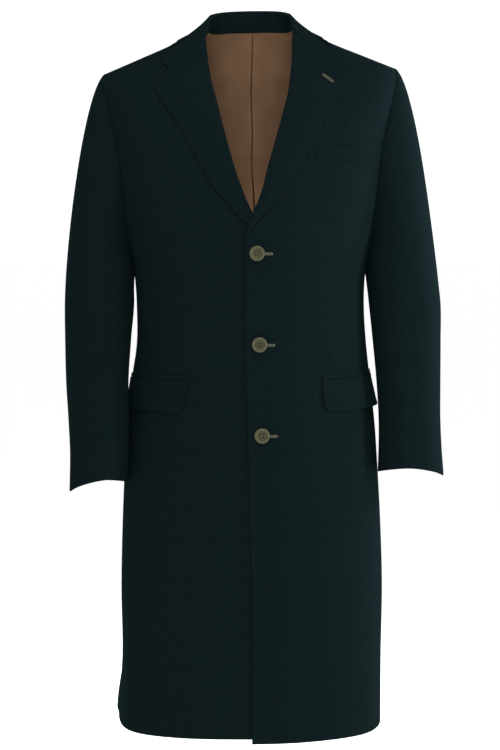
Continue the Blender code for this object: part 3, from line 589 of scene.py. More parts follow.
@dataclass(frozen=True)
class Body:
    """Form of the coat's body: rings, laps, folds, creases, and the lean of the shoulders."""

    shoulder_z: float = -0.064
    underarm_z: float = -0.368
    break_z: float = -0.306
    front_top_z: float = -0.004
    vent_top_z: float = -0.640
    hem_z: float = -1.0715
    shoulder_tilt: float = 0.0188
    tilt_from_z: float = -0.450
    tilt_full_z: float = -0.150
    front_lap_lift: float = 0.0027
    break_lift: float = 0.0036
    break_reach: float = 0.045
    lap_flat: float = 0.050
    lap_fade: float = 0.120
    vent_lift_height: float = 0.0027
    vent_fade: float = 0.080
    vent_start: float = 0.004
    armhole_share: float = 0.43
    armhole_taper: float = 0.25
    armhole_round: float = 0.80
    roll_start: float = 0.020
    neck_clear: float = 0.012
    neck_fade: float = 0.006
    girth_radius: float = 0.180
    edge_lift: float = 0.0015
    edge_reach: Pair = (-0.008, 0.024)
    shoulder_drop: float = 0.0025
    drop_from_x: float = 0.060
    drop_full_x: float = 0.150
    drop_from_z: float = -0.180

    def arm_share(self, z: Array) -> Array:
        """How far round from the side the armhole's edge lies at a level, as a share of the depth.

        Args:
            z: Levels.

        Returns:
            Shares: the armhole's size * (1 - h^2)^(round / 2) * (1 + taper * h), h from -1 to 1 up it.
        """
        span = self.shoulder_z - self.underarm_z
        height = np.clip((2.0 * z - self.shoulder_z - self.underarm_z) / span, -1.0, 1.0)
        round_part = (1.0 - height**2) ** (self.armhole_round / 2.0)
        return self.armhole_share * round_part * (1.0 + self.armhole_taper * height)

    def half_width(self, side: Side, z: Array) -> Array:
        """Half-width of the ring at a level, with the shoulder seam above the armhole."""
        beside = read(WIDTHS, z, side.word)
        above = read(SHOULDER, z, "half")
        return np.where(z < self.shoulder_z, beside, above)

    def ring(self, side: Side, z: Array) -> tuple[Array, Array, Array, Array, Array]:
        """Half-width, front depth, back depth, side place and squareness of the ring at a level."""
        columns = ("front", "back", "side", "square")
        front, back, middle, square = (read(DEPTHS, z, name) for name in columns)
        return self.half_width(side, z), front - middle, back - middle, middle, square

    def point(self, side: Side, turn: Array, z: Array) -> Array:
        """Points of the body: x = half * sin(turn), y from |x / half|^p + |y / depth|^p = 1.

        Args:
            side: Side of the body.
            turn: Turns from the centre front.
            z: Levels.

        Returns:
            Points on the rings.
        """
        half, front, back, middle, square = self.ring(side, z)
        sine = np.sin(turn)
        depth = np.clip(1.0 - np.abs(sine) ** square, 0.0, 1.0) ** (1.0 / square)
        y = middle + np.where(np.cos(turn) >= 0.0, front, back) * depth
        return np.stack(np.broadcast_arrays(side.value * half * sine, y, z), axis=-1)

    def level(self, side: Side, points: Array) -> Array:
        """1 on the body's surface, more outside it and less inside."""
        x, y, z = np.moveaxis(points, -1, 0)
        half, front, back, middle, square = self.ring(side, z)
        depth = np.where(y < middle, front, back)
        return (np.abs(x / half) ** square + np.abs((y - middle) / depth) ** square) ** (1.0 / square)

    def slope(self, side: Side, points: Array) -> Array:
        """How fast the level grows along X, Y and Z, from small steps both ways."""
        steps = TINY * np.eye(3)
        grows = [self.level(side, points + step) - self.level(side, points - step) for step in steps]
        return np.stack(grows, axis=-1) / (2.0 * TINY)

    def normal(self, side: Side, points: Array) -> Array:
        """Outward direction of the body at points on it."""
        return unit(self.slope(side, points))

    def cleared(self, side: Side, points: Array, distance: Array) -> Array:
        """The points, with any that lie nearer to the body than the distance moved out to it."""
        for _ in range(3):
            slope = self.slope(side, points)
            steep = np.linalg.norm(slope, axis=-1)
            short = np.maximum(distance - (self.level(side, points) - 1.0) / steep, 0.0)
            short = short * (1.0 - ease(points[..., 2], -self.neck_fade, 0.0))
            points = points + unit(slope) * short[..., None]
        return points

    def folds(self, side: Side, turn: Array, z: Array) -> Array:
        """How far the skirt's folds stand out: depth * exp(-(turn / width)^2), growing towards the hem."""
        depth = np.where(FOLDS["side"] == side.value, FOLDS["depth"], 0.0)
        off = (np.degrees(turn)[..., None] - FOLDS["turn_degrees"]) / FOLDS["width_degrees"]
        drop = 1.0 - ease(z[..., None], self.hem_z, FOLDS["top_z"])
        return np.sum(depth * np.exp(-(off**2)) * drop, axis=-1)

    def creases(self, side: Side, turn: Array, z: Array) -> Array:
        """How far the creases of the body stand out."""
        across = (turn[..., None] - np.radians(BODY_CREASES["turn_degrees"])) * self.girth_radius
        along = z[..., None] - BODY_CREASES["z"]
        return crease_height(BODY_CREASES, side, along, across)

    def front_lift(self, side: Side, x: Array, z: Array) -> Array:
        """How far a front stands off the body: the left one lies over the right."""
        near = 1.0 - ease(np.abs(x), self.lap_flat, self.lap_fade)
        at_break = self.break_lift * np.exp(-(((z - self.break_z) / self.break_reach) ** 2))
        at_edge = self.edge_lift * (1.0 - ease(x, *self.edge_reach))
        return (side is Side.LEFT) * near * (self.front_lap_lift + at_break + at_edge)

    def vent_lift(self, side: Side, x: Array, z: Array) -> Array:
        """How far a back stands off the body: at the vent the left one lies over the right."""
        near = 1.0 - ease(np.abs(x), self.lap_flat, self.lap_fade)
        low = 1.0 - ease(z, self.vent_top_z, self.vent_top_z + self.vent_fade)
        return (side is Side.LEFT) * near * self.vent_lift_height * low

    def front_ground(self, side: Side, x: Array, z: Array) -> tuple[Array, Array, Array]:
        """Points of the body under a front, their outward directions, and how far the front stands off."""
        points = self.point(side, self.turn_of_x(side, x, z), z)
        return points, self.normal(side, points), self.front_lift(side, points[..., 0], z)

    def on_front(self, side: Side, turn: Array, z: Array, height: Array | float) -> Array:
        """Points of a front, moved out by a height."""
        points = self.point(side, turn, z)
        lift = self.front_lift(side, points[..., 0], z) + height
        lift = lift + self.folds(side, turn, z) + self.creases(side, turn, z)
        return points + self.normal(side, points) * lift[..., None]

    def on_back(self, side: Side, turn: Array, z: Array, height: Array | float) -> Array:
        """Points of a back, moved out by a height."""
        points = self.point(side, turn, z)
        lift = self.vent_lift(side, points[..., 0], z) + height
        lift = lift + self.folds(side, turn, z) + self.creases(side, turn, z)
        return points + self.normal(side, points) * lift[..., None]

    def turn_of_x(self, side: Side, x: Array, z: Array) -> Array:
        """Turn of the front point at a distance from the middle towards the side."""
        return np.arcsin(np.clip(x / self.half_width(side, z), -1.0, 1.0))

    def side_turn(self, side: Side, z: Array) -> Array:
        """Turn of the side seam or, beside the armhole, of the armhole's front edge."""
        square = self.ring(side, z)[-1]
        beside = (z > self.underarm_z) & (z < self.shoulder_z)
        share = np.where(beside, self.arm_share(z), 0.0)
        return np.arcsin((1.0 - share**square) ** (1.0 / square))

    def panel_edge(self, side: Side, z: Array) -> Array:
        """Cut edge of the front panel: inside the roll where the lapel turns round it."""
        edge = read(FRONT_EDGE[side], z, "x")
        turned = ROLL_REACH * ease(z, self.break_z - self.roll_start, self.break_z)
        under_collar = self.neck_clear * ease(z, LAPEL_ROWS[side]["roll_z"][-1], self.front_top_z)
        return edge + turned + under_collar

    def levels(self, top: float, skirt: int, waist: int, armhole: int, shoulder: int) -> Array:
        """Levels of a panel's rows: even in skirt and waist, rounded at the armhole, even up the shoulder.

        Args:
            top: Highest level.
            skirt: Rows below the vent's top.
            waist: Rows from there to the underarm.
            armhole: Rows beside the armhole.
            shoulder: Rows above it.

        Returns:
            Rising levels.
        """
        length = self.vent_top_z - self.vent_start - self.hem_z
        below = self.hem_z + length * edged_steps(skirt, length)
        middle = (self.shoulder_z + self.underarm_z) / 2.0
        radius = (self.shoulder_z - self.underarm_z) / 2.0
        beside = middle - radius * np.cos(np.linspace(0.0, math.pi, armhole))
        rise = top - self.shoulder_z
        above = self.shoulder_z + rise * edged_steps(shoulder, rise)
        parts = [below, np.linspace(self.vent_top_z, self.underarm_z, waist), beside[1:], above[1:]]
        return np.concatenate(parts)

    def leant(self, points: Array) -> Array:
        """The points as the figure stands: z + tilt * x above the waist, with both shoulders eased down."""
        x, z = points[..., 0], points[..., 2]
        tilted = self.shoulder_tilt * x * ease(z, self.tilt_from_z, self.tilt_full_z)
        outside = ease(np.abs(x), self.drop_from_x, self.drop_full_x)
        dropped = self.shoulder_drop * outside * ease(z, self.drop_from_z, self.shoulder_z)
        moved = points.copy()
        moved[..., 2] += tilted - dropped
        return moved


@dataclass(frozen=True)
class Cut:
    """Flat cut of a cloth piece: its width, length and area, and how it is held.

    Width and length are those of the sheet's longest row and column. A front's or back's length is that of
    its middle column and a top sleeve's width that of its middle row, as the longest follow the armhole.
    """

    width: float
    length: float
    area: float
    held: Held
    rests_on: tuple[str, ...] = ()


def grid_faces(index: Array) -> Array:
    """Four corners of every face of a grid of vertex numbers."""
    corners = [index[:-1, :-1], index[:-1, 1:], index[1:, 1:], index[1:, :-1]]
    return np.stack(corners, axis=-1).reshape(-1, 4)


def closed(index: Array) -> Array:
    """A grid of vertex numbers with its first column once more at the end."""
    return np.concatenate([index, index[:, :1]], axis=1)


def ring_points(radius: Array, height: Array, steps: int) -> Array:
    """Rings of points round the Z axis: radius * cos a, radius * sin a and the height."""
    angle = np.linspace(0.0, math.tau, steps, endpoint=False)
    x, y = radius[:, None] * np.cos(angle), radius[:, None] * np.sin(angle)
    return np.stack(np.broadcast_arrays(x, y, height), axis=-1).reshape(-1, 3)


def add_object(name: str, data: bpy.types.ID | None) -> Object:
    """A new object in the scene."""
    item = bpy.data.objects.new(name, data)
    bpy.context.scene.collection.objects.link(item)
    return item


def add_mesh(name: str, points: Array, faces: Array, uv: Array, stuffs: Array) -> Object:
    """A mesh object at the origin, smooth, with a UV map in metres.

    Args:
        name: Name of the piece.
        points: Places of the vertices.
        faces: Four vertex numbers for each face.
        uv: Two lengths for each vertex.
        stuffs: Material number of each face.

    Returns:
        The new object.
    """
    mesh = bpy.data.meshes.new(name)
    mesh.vertices.add(len(points))
    mesh.vertices.foreach_set("co", points.astype(np.float32).ravel())
    mesh.loops.add(faces.size)
    mesh.loops.foreach_set("vertex_index", faces.astype(np.int32).ravel())
    mesh.polygons.add(len(faces))
    mesh.polygons.foreach_set("loop_start", np.arange(0, faces.size, 4, dtype=np.int32))
    mesh.polygons.foreach_set("material_index", stuffs.astype(np.int32))
    mesh.polygons.foreach_set("use_smooth", np.ones(len(faces), bool))
    layer = mesh.uv_layers.new(name="Cloth")
    layer.uv.foreach_set("vector", uv[faces.ravel()].astype(np.float32).ravel())
    mesh.update(calc_edges=True)
    mesh.validate()
    return add_object(name, mesh)


@dataclass
class Shell:
    """A closed thin shell of cloth between an outer and an inner sheet of points, its border rounded.

    Half the way from the inner to the outer sheet, times sqrt(1 - (1 - d / r)^2), is added to and taken
    from their middle, where d is the distance to the border and r the rounding length. The two sheets so
    meet in a round edge.
    """

    name: str
    outer: Array
    inner: Array
    edges: Edges
    lined: Array | None = None

    def fullness(self, middle: Array) -> Array:
        """How full the shell is at each point, from 0 at the border to 1 inside it."""
        along = run_lengths(middle, 0)
        across = run_lengths(middle, 1)
        first_row, last_row, first_column, last_column = self.edges
        to_ends = np.minimum(along / first_row, (along[-1:] - along) / last_row)
        to_sides = np.minimum(across / first_column, (across[:, -1:] - across) / last_column)
        share = np.clip(np.minimum(to_ends, to_sides), 0.0, 1.0)
        return np.sqrt(1.0 - (1.0 - share) ** 2)

    def build(self, body: Body) -> Object:
        """Make the shell's mesh, as the figure stands.

        Args:
            body: Form that gives the lean of the shoulders.

        Returns:
            The shell's object.
        """
        middle = (self.outer + self.inner) / 2.0
        half = (self.outer - self.inner) / 2.0 * self.fullness(middle)[..., None]
        rows, columns = middle.shape[:2]
        index = np.arange(rows * columns).reshape(rows, columns)
        inside = index.copy()
        inside[1:-1, 1:-1] = rows * columns + np.arange((rows - 2) * (columns - 2)).reshape(rows - 2, -1)
        points = np.concatenate([(middle + half).reshape(-1, 3), (middle - half)[1:-1, 1:-1].reshape(-1, 3)])
        lengths = np.stack([run_lengths(middle, 1), run_lengths(middle, 0)], axis=-1)
        uv = np.concatenate([lengths.reshape(-1, 2), lengths[1:-1, 1:-1].reshape(-1, 2)])
        front = grid_faces(index)
        back = grid_faces(inside)[:, ::-1]
        turned = np.sum(sheet_normals(middle)[rows // 2, columns // 2] * half[rows // 2, columns // 2]) > 0.0
        faces = np.concatenate([front, back])
        faces = faces[:, ::-1] if turned else faces
        lining = np.zeros(len(back)) if self.lined is None else self.lined.ravel()
        stuffs = np.concatenate([np.zeros(len(front)), lining])
        return add_mesh(self.name, body.leant(points), faces, uv, stuffs)


def thickened(middle: Array, thickness: Array | float) -> tuple[Array, Array]:
    """Outer and inner sheets half a thickness either side of a middle sheet."""
    offset = sheet_normals(middle) * thickness / 2.0
    return middle + offset, middle - offset


def closed_tube(path: Array, outward: Array, radius: Array, sides: int) -> tuple[Array, Array, Array]:
    """A round bead along a closed path: path + radius * (cos a * outward + sin a * sideways).

    Args:
        path: Points of the path, the last joined to the first.
        outward: Direction of the bead's top at each point.
        radius: Radius at each point.
        sides: Number of sides of the bead.

    Returns:
        Points, faces and UV of the tube.
    """
    along = unit(np.roll(path, -1, axis=0) - np.roll(path, 1, axis=0))
    up = across_to(outward, along)
    sideways = np.cross(along, up)
    angle = np.linspace(0.0, math.tau, sides, endpoint=False)[None, :, None]
    ring = np.cos(angle) * up[:, None] + np.sin(angle) * sideways[:, None]
    points = path[:, None] + radius[:, None, None] * ring
    index = np.arange(len(path) * sides).reshape(len(path), sides)
    index = closed(np.concatenate([index, index[:1]]))
    run = run_lengths(path[:, None], 0)
    uv = np.stack(np.broadcast_arrays(run, angle[..., 0] * radius[:, None]), axis=-1)
    return points.reshape(-1, 3), grid_faces(index)[:, ::-1], uv.reshape(-1, 2)


def stadium(length: float, width: float, count: int) -> Array:
    """A closed oval with straight sides and round ends, even along its length.

    Args:
        length: Whole length.
        width: Whole width.
        count: Number of points.

    Returns:
        Points as two columns, along and across.
    """
    radius = width / 2.0
    straight = length - width
    whole = 2.0 * straight + 2.0 * math.pi * radius
    run = np.linspace(0.0, whole, count, endpoint=False)
    lap = straight + math.pi * radius
    far = run >= lap
    at = np.where(far, run - lap, run)
    angle = np.maximum(at - straight, 0.0) / radius
    along = np.minimum(at, straight) - straight / 2.0 + radius * np.sin(angle)
    across = -radius * np.cos(angle)
    sign = np.where(far, -1.0, 1.0)
    return np.stack([sign * along, sign * across], axis=-1)


class Graph:
    """A short way to add and join the nodes of a material."""

    def __init__(self, name: str) -> None:
        """Start a material with its own shader.

        Args:
            name: Name of the material.
        """
        self.material = bpy.data.materials.new(name)
        self.material.use_nodes = True
        self.nodes = self.material.node_tree.nodes
        self.links = self.material.node_tree.links
        self.shader = self.nodes["Principled BSDF"]

    def add(
        self, kind: str, values: dict[str | int, object] | None = None, **options: object
    ) -> bpy.types.Node:
        """Add a node.

        Args:
            kind: Blender's name of the node's type, less its first word.
            values: Values of its input sockets.
            options: Values of its own settings.

        Returns:
            The node.
        """
        node = self.nodes.new(f"ShaderNode{kind}")
        for option, value in options.items():
            setattr(node, option, value)
        for socket, value in (values or {}).items():
            if isinstance(value, Socket):
                self.links.new(value, node.inputs[socket])
            else:
                node.inputs[socket].default_value = value
        return node

    def set(self, **values: object) -> None:
        """Set or join sockets of the shader, named with underscores for spaces.

        Args:
            values: A number, a colour or another node's socket for each name.
        """
        for word, value in values.items():
            socket = self.shader.inputs[word.replace("_", " ")]
            if isinstance(value, Socket):
                self.links.new(value, socket)
            else:
                socket.default_value = value

    def ramp(self, factor: Socket, places: tuple[float, ...], *colours: Triple) -> Socket:
        """A colour ramp.

        Args:
            factor: Socket that runs along it.
            places: Place of each stop.
            colours: Colour of each stop.

        Returns:
            Its colour socket.
        """
        node = self.add("ValToRGB", {"Fac": factor})
        elements = node.color_ramp.elements
        while len(elements) < len(places):
            elements.new(0.5)
        for element, place, colour in zip(elements, places, colours):
            element.position = place
            element.color = (*colour, 1.0)
        return node.outputs["Color"]

    def shade(self, pattern: Socket, low: float, high: float) -> Socket:
        """A grey that runs from low to high over the middle of a pattern."""
        return self.ramp(pattern, MIDDLE_SPAN, (low, low, low), (high, high, high))

    def bump(self, height: Socket, strength: float, distance: float) -> Socket:
        """Normals of a surface with small heights on it."""
        values = {"Strength": strength, "Distance": distance, "Height": height}
        return self.add("Bump", values).outputs["Normal"]

    def ranged(self, value: Socket, low: float, high: float) -> Socket:
        """A value from 0 to 1 spread over another range."""
        return self.add("MapRange", {"Value": value, "To Min": low, "To Max": high}).outputs["Result"]

    def noise(self, place: Socket, scale: float, detail: float) -> Socket:
        """A cloudy pattern with a number of clouds to the metre."""
        return self.add("TexNoise", {"Vector": place, "Scale": scale, "Detail": detail}).outputs["Fac"]

    def ribs(self, place: Socket, per_metre: float, unevenness: float, detail: float) -> Socket:
        """Slanting ribs, a number of them to the metre."""
        values = {"Vector": place, "Scale": per_metre / math.tau, "Distortion": unevenness, "Detail": detail}
        return self.add("TexWave", values, bands_direction="DIAGONAL").outputs["Fac"]

    def stretched(self, place: Socket, scale: Triple) -> Socket:
        """A place stretched by a scale on each axis."""
        return self.add("Mapping", {"Vector": place, "Scale": scale}).outputs["Vector"]

    def product(self, first: Socket, second: Socket) -> Socket:
        """One colour times another, on the node's colour sockets 6 and 7."""
        node = self.add("Mix", {0: 1.0, 6: first, 7: second}, data_type="RGBA", blend_type="MULTIPLY")
        return node.outputs[2]

    def total(self, first: Socket, second: Socket, share: float) -> Socket:
        """One value and a share of another."""
        node = self.add("Math", {0: second, 1: share, 2: first}, operation="MULTIPLY_ADD")
        return node.outputs["Value"]


@dataclass(frozen=True)
class WoolFinish:
    """Smooth milled wool: a fine twill under a short nap, mixed fibres, faint bars across the cloth."""

    dark: Triple = (0.0021, 0.0051, 0.0057)
    light: Triple = (0.0040, 0.0076, 0.0084)
    fibre_span: Pair = (0.32, 0.68)
    grains_per_metre: float = 330.0
    ribs_per_metre: float = 1300.0
    nap_share: float = 0.8
    unevenness: float = 0.6
    bars: Triple = (6.0, 170.0, 1.0)
    bar_shade: Pair = (0.965, 1.035)
    roughness: Pair = (0.80, 0.94)
    specular: float = 0.0
    sheen: float = 0.008
    sheen_roughness: float = 0.55
    tint: tuple[float, float, float, float] = (0.42, 0.86, 0.95, 1.0)
    bump_distance: float = 0.00018
    bump_strength: float = 0.35

    def make(self) -> Material:
        """The cloth's material, on its UV map in metres."""
        graph = Graph("wool")
        place = graph.add("TexCoord").outputs["UV"]
        grain = graph.noise(place, self.grains_per_metre, 3.0)
        bars = graph.noise(graph.stretched(place, self.bars), 1.0, 2.0)
        twill = graph.ribs(place, self.ribs_per_metre, self.unevenness, 1.0)
        fibres = graph.ramp(grain, self.fibre_span, self.dark, self.light)
        shade = graph.shade(bars, *self.bar_shade)
        height = graph.total(twill, grain, self.nap_share)
        graph.set(
            Base_Color=graph.product(fibres, shade),
            Roughness=graph.ranged(grain, *self.roughness),
            Specular_IOR_Level=self.specular,
            Sheen_Weight=self.sheen,
            Sheen_Roughness=self.sheen_roughness,
            Sheen_Tint=self.tint,
            Normal=graph.bump(height, self.bump_strength, self.bump_distance),
        )
        return graph.material


@dataclass(frozen=True)
class LiningFinish:
    """Brown woven lining with faint slubs across it and a soft sheen."""

    dark: Triple = (0.162, 0.090, 0.048)
    light: Triple = (0.198, 0.112, 0.062)
    clouds_per_metre: float = 34.0
    cloud_span: Pair = (0.30, 0.70)
    slubs: Triple = (14.0, 420.0, 1.0)
    slub_shade: Pair = (0.97, 1.03)
    roughness: Pair = (0.50, 0.64)
    specular: float = 0.10
    sheen: float = 0.02
    bump_distance: float = 0.0001
    bump_strength: float = 0.20

    def make(self) -> Material:
        """The lining's material, on its UV map in metres."""
        graph = Graph("lining")
        place = graph.add("TexCoord").outputs["UV"]
        clouds = graph.noise(place, self.clouds_per_metre, 3.0)
        slubs = graph.noise(graph.stretched(place, self.slubs), 1.0, 2.0)
        shade = graph.shade(slubs, *self.slub_shade)
        brown = graph.ramp(clouds, self.cloud_span, self.dark, self.light)
        graph.set(
            Base_Color=graph.product(brown, shade),
            Roughness=graph.ranged(clouds, *self.roughness),
            Specular_IOR_Level=self.specular,
            Sheen_Weight=self.sheen,
            Normal=graph.bump(slubs, self.bump_strength, self.bump_distance),
        )
        return graph.material


@dataclass(frozen=True)
class HornFinish:
    """Olive-brown horn with drawn-out clouds, half matt, its dish darkened by painted shade."""

    dark: Triple = (0.043, 0.043, 0.022)
    middle: Triple = (0.052, 0.052, 0.027)
    light: Triple = (0.064, 0.063, 0.036)
    streaks: Triple = (90.0, 260.0, 260.0)
    streak_detail: float = 4.0
    streak_stops: Triple = (0.30, 0.50, 0.72)
    roughness: Pair = (0.56, 0.70)
    specular: float = 0.12
    # painted shade: how dark the dish is painted against the rim, standing in for the shade in the bowl
    painted_dish_shade: float = 0.74

    def make(self) -> Material:
        """The buttons' material, on Object coordinates, with painted shade making the dish darker than the
        rim.
        """
        graph = Graph("horn")
        place = graph.add("TexCoord").outputs["Object"]
        streaks = graph.noise(graph.stretched(place, self.streaks), 1.0, self.streak_detail)
        horn = graph.ramp(streaks, self.streak_stops, self.dark, self.middle, self.light)
        rim = graph.add("Attribute", attribute_name=RIM).outputs["Fac"]
        # painted shade: the dish darkened through the rim attribute
        shade = graph.ramp(rim, (0.0, 1.0), (self.painted_dish_shade,) * 3, (1.0, 1.0, 1.0))
        graph.set(
            Base_Color=graph.product(horn, shade),
            Roughness=graph.ranged(streaks, *self.roughness),
            Specular_IOR_Level=self.specular,
        )
        return graph.material


@dataclass(frozen=True)
class ThreadFinish:
    """Pale olive buttonhole thread, twisted."""

    dark: Triple = (0.046, 0.045, 0.032)
    light: Triple = (0.078, 0.077, 0.056)
    twists_per_metre: float = 1600.0
    unevenness: float = 0.5
    twist_span: Pair = (0.15, 0.75)
    roughness: float = 0.70
    specular: float = 0.20
    bump_distance: float = 0.00015
    bump_strength: float = 0.50

    def make(self) -> Material:
        """The thread's material, on its UV map in metres."""
        graph = Graph("thread")
        place = graph.add("TexCoord").outputs["UV"]
        twist = graph.ribs(place, self.twists_per_metre, self.unevenness, 2.0)
        graph.set(
            Base_Color=graph.ramp(twist, self.twist_span, self.dark, self.light),
            Roughness=self.roughness,
            Specular_IOR_Level=self.specular,
            Normal=graph.bump(twist, self.bump_strength, self.bump_distance),
        )
        return graph.material


@dataclass(frozen=True)
class FloorFinish:
    """Plain pale studio floor."""

    colour: tuple[float, float, float, float] = (0.90, 0.90, 0.90, 1.0)
    roughness: float = 0.90
    specular: float = 0.10
    glow: float = 1.00

    def make(self) -> Material:
        """The floor's material, lit a little from below."""
        graph = Graph("pale_floor")
        graph.set(Base_Color=self.colour, Roughness=self.roughness, Specular_IOR_Level=self.specular)
        graph.set(Emission_Color=self.colour, Emission_Strength=self.glow)
        return graph.material


@dataclass(frozen=True)
class Finishes:
    """The materials that the pieces are dressed with."""

    wool: Material
    lining: Material
    horn: Material
    thread: Material


@dataclass(frozen=True)
class ClothPiece:
    """A cut piece of cloth on the coat: it builds its shell and is dressed with its finish.

    The first four values belong to the kind of piece: the first words of its name, how it is held, the first
    words of what it rests on, and its rounding at the first and last row and the first and last column.
    """

    label: ClassVar[str] = ""
    held: ClassVar[Held] = Held.HUNG
    supports: ClassVar[tuple[str, ...]] = ()
    edges: ClassVar[Edges] = (FREE_ROUND, FREE_ROUND, FREE_ROUND, FREE_ROUND)

    body: Body
    side: Side

    def name(self) -> str:
        """Name of the CAD node that the piece stands for."""
        return f"{self.label}_{self.side.word}"

    def sheets(self) -> tuple[Array, Array]:
        """Outer and inner sheets of points."""
        raise NotImplementedError

    def rests_on(self) -> tuple[str, ...]:
        """Names of the pieces that it rests on, on its own side."""
        return tuple(f"{word}_{self.side.word}" for word in self.supports)

    def cut(self) -> Cut:
        """Flat cut of the piece."""
        return Cut(*CUTS[self.name()], self.held, self.rests_on())

    def lined(self, outer: Array) -> Array | None:
        """Faces of the inner sheet that show lining, or nothing."""
        return None

    def stuff(self) -> Stuff:
        """What the piece is made of."""
        return Stuff.WOOL

    def build(self) -> Object:
        """Make the piece's shell."""
        outer, inner = self.sheets()
        shell = Shell(f"{self.name()}_cloth", outer, inner, self.edges, self.lined(outer))
        return shell.build(self.body)

    def dress(self, piece: Object, finishes: Finishes) -> None:
        """Give the piece its finish, set it under the root and hide the CAD node that it stands for.

        Args:
            piece: The built shell.
            finishes: The coat's materials.
        """
        outside = finishes.lining if self.stuff() is Stuff.LINING else finishes.wool
        piece.data.materials.append(outside)
        piece.data.materials.append(finishes.lining)
        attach(piece, "root")
        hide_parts(self.name())
        cut = self.cut()


@dataclass(frozen=True)
class Front(ClothPiece):
    """Front panel from its edge or roll line to the side seam, the armhole and the shoulder seam."""

    label = "front"
    supports = ("back",)
    edges = (FREE_ROUND, FREE_ROUND, FREE_ROUND, SEAM_ROUND)

    row_counts: Counts = (120, 70, 76, 18)
    columns: int = 34
    width: float = 0.110
    facing: float = 0.085
    hem: float = 0.040
    hem_drop: float = 0.0065
    hem_drop_reach: float = 0.260
    hem_drop_top_z: float = -0.750
    dart_depth: float = 0.0007
    dart_width: float = 0.0009
    dart_puff: float = 0.0004
    dart_puff_width: float = 0.0065
    dart_fade: float = 0.030
    dart_fine: tuple[float, ...] = (0.0, 0.0004, 0.0008, 0.0012, 0.0018, 0.0028, 0.0044)
    dart_coarse: float = 0.0060
    least_step: float = 0.01

    def spread(self, z: Array) -> tuple[Array, Array]:
        """Turns at which the panel starts and ends at each level."""
        start = self.body.turn_of_x(self.side, self.body.panel_edge(self.side, z), z)
        return start, self.body.side_turn(self.side, z)

    def dart_steps(self) -> Array:
        """Columns from 0 at the front edge, by 0.5 at the dart, to 1 at the side, finer at the dart."""
        fine = np.array(self.dart_fine) / self.width
        even = np.linspace(self.dart_coarse / self.width, 1.0, self.columns)
        half = np.concatenate([fine, even[:-1]])
        free = 1.0 - edged_steps(2, self.width)[ROUND_STEPS - 1 :: -1]
        sewn = 1.0 - edged_steps(2, self.width, SEAM_ROUND)[ROUND_STEPS - 1 :: -1]
        to_edge = np.concatenate([half[half < free[0] - self.least_step], free])
        to_side = np.concatenate([half[half < sewn[0] - self.least_step], sewn])
        return np.concatenate([0.5 - to_edge[::-1] / 2.0, 0.5 + to_side[1:] / 2.0])

    def grid(self) -> tuple[Array, Array, Array]:
        """Turns and levels of the panel, and how far its outside is raised or sunk along the dart.

        Returns:
            Turns, levels and relief, each rows by columns. The relief is a narrow groove in a broad puff.
        """
        levels = self.body.levels(self.body.front_top_z, *self.row_counts)[:, None]
        steps = self.dart_steps()[None, :]
        rows = DART[self.side]
        near = np.clip(levels, rows["z"][0], rows["z"][-1])
        start, end = self.spread(near)
        dart_x = read(rows, near, "x")
        share = (self.body.turn_of_x(self.side, dart_x, near) - start) / (end - start)
        across = np.where(steps < 0.5, 2.0 * steps * share, share + (2.0 * steps - 1.0) * (1.0 - share))
        start, end = self.spread(levels)
        turn = start + (end - start) * across
        x = self.body.half_width(self.side, levels) * np.sin(turn)
        low = 1.0 - ease(levels, self.body.hem_z, self.hem_drop_top_z)
        drop = (self.side is Side.LEFT) * self.hem_drop * (1.0 - ease(x, 0.0, self.hem_drop_reach)) * low
        off = x - dart_x
        sewn = ease(levels, rows["z"][0] - TINY, rows["z"][0])
        sewn = sewn * (1.0 - ease(levels, rows["z"][-1] - self.dart_fade, rows["z"][-1]))
        groove = self.dart_depth * np.exp(-((off / self.dart_width) ** 2))
        puff = self.dart_puff * np.exp(-((off / self.dart_puff_width) ** 2))
        return turn, levels - drop, sewn * (puff - groove)

    def sheets(self) -> tuple[Array, Array]:
        """Outer and inner sheets."""
        turn, z, relief = self.grid()
        return self.body.on_front(self.side, turn, z, relief), self.body.on_front(self.side, turn, z, -CLOTH)

    def lined(self, outer: Array) -> Array:
        """Lining behind the facing and above the hem's turn-up."""
        across = run_lengths(outer, 1)[:-1, :-1]
        return (across > self.facing) & (outer[:-1, :-1, 2] > self.body.hem_z + self.hem)


@dataclass(frozen=True)
class Back(ClothPiece):
    """Back panel from the side seam to the centre seam, with its half of the vent."""

    label = "back"
    supports = ("front",)
    edges = (FREE_ROUND, FREE_ROUND, SEAM_ROUND, SEAM_ROUND)

    row_counts: Counts = (96, 60, 76, 18)
    columns: int = 54
    width: float = 0.290
    hem: float = 0.040
    vent_lap: float = 0.045
    vent_facing: float = 0.050

    def grid(self) -> tuple[Array, Array]:
        """Turns and levels of the panel."""
        z = self.body.levels(0.0, *self.row_counts)[:, None]
        across = edged_steps(self.columns, self.width, SEAM_ROUND, SEAM_ROUND)[None, :]
        start = math.pi - self.body.side_turn(self.side, z)
        lap = np.where(z < self.body.vent_top_z, self.vent_lap / 2.0, 0.0)
        end = math.pi - self.body.turn_of_x(self.side, -lap, z)
        return start + (end - start) * across, z

    def sheets(self) -> tuple[Array, Array]:
        """Outer and inner sheets."""
        turn, z = self.grid()
        return self.body.on_back(self.side, turn, z, 0.0), self.body.on_back(self.side, turn, z, -CLOTH)

    def lined(self, outer: Array) -> Array:
        """Lining above the hem's turn-up and beside the vent's facing."""
        across = run_lengths(outer, 1)
        from_vent = (across[:, -1:] - across)[:-1, :-1]
        return (from_vent > self.vent_facing) & (outer[:-1, :-1, 2] > self.body.hem_z + self.hem)


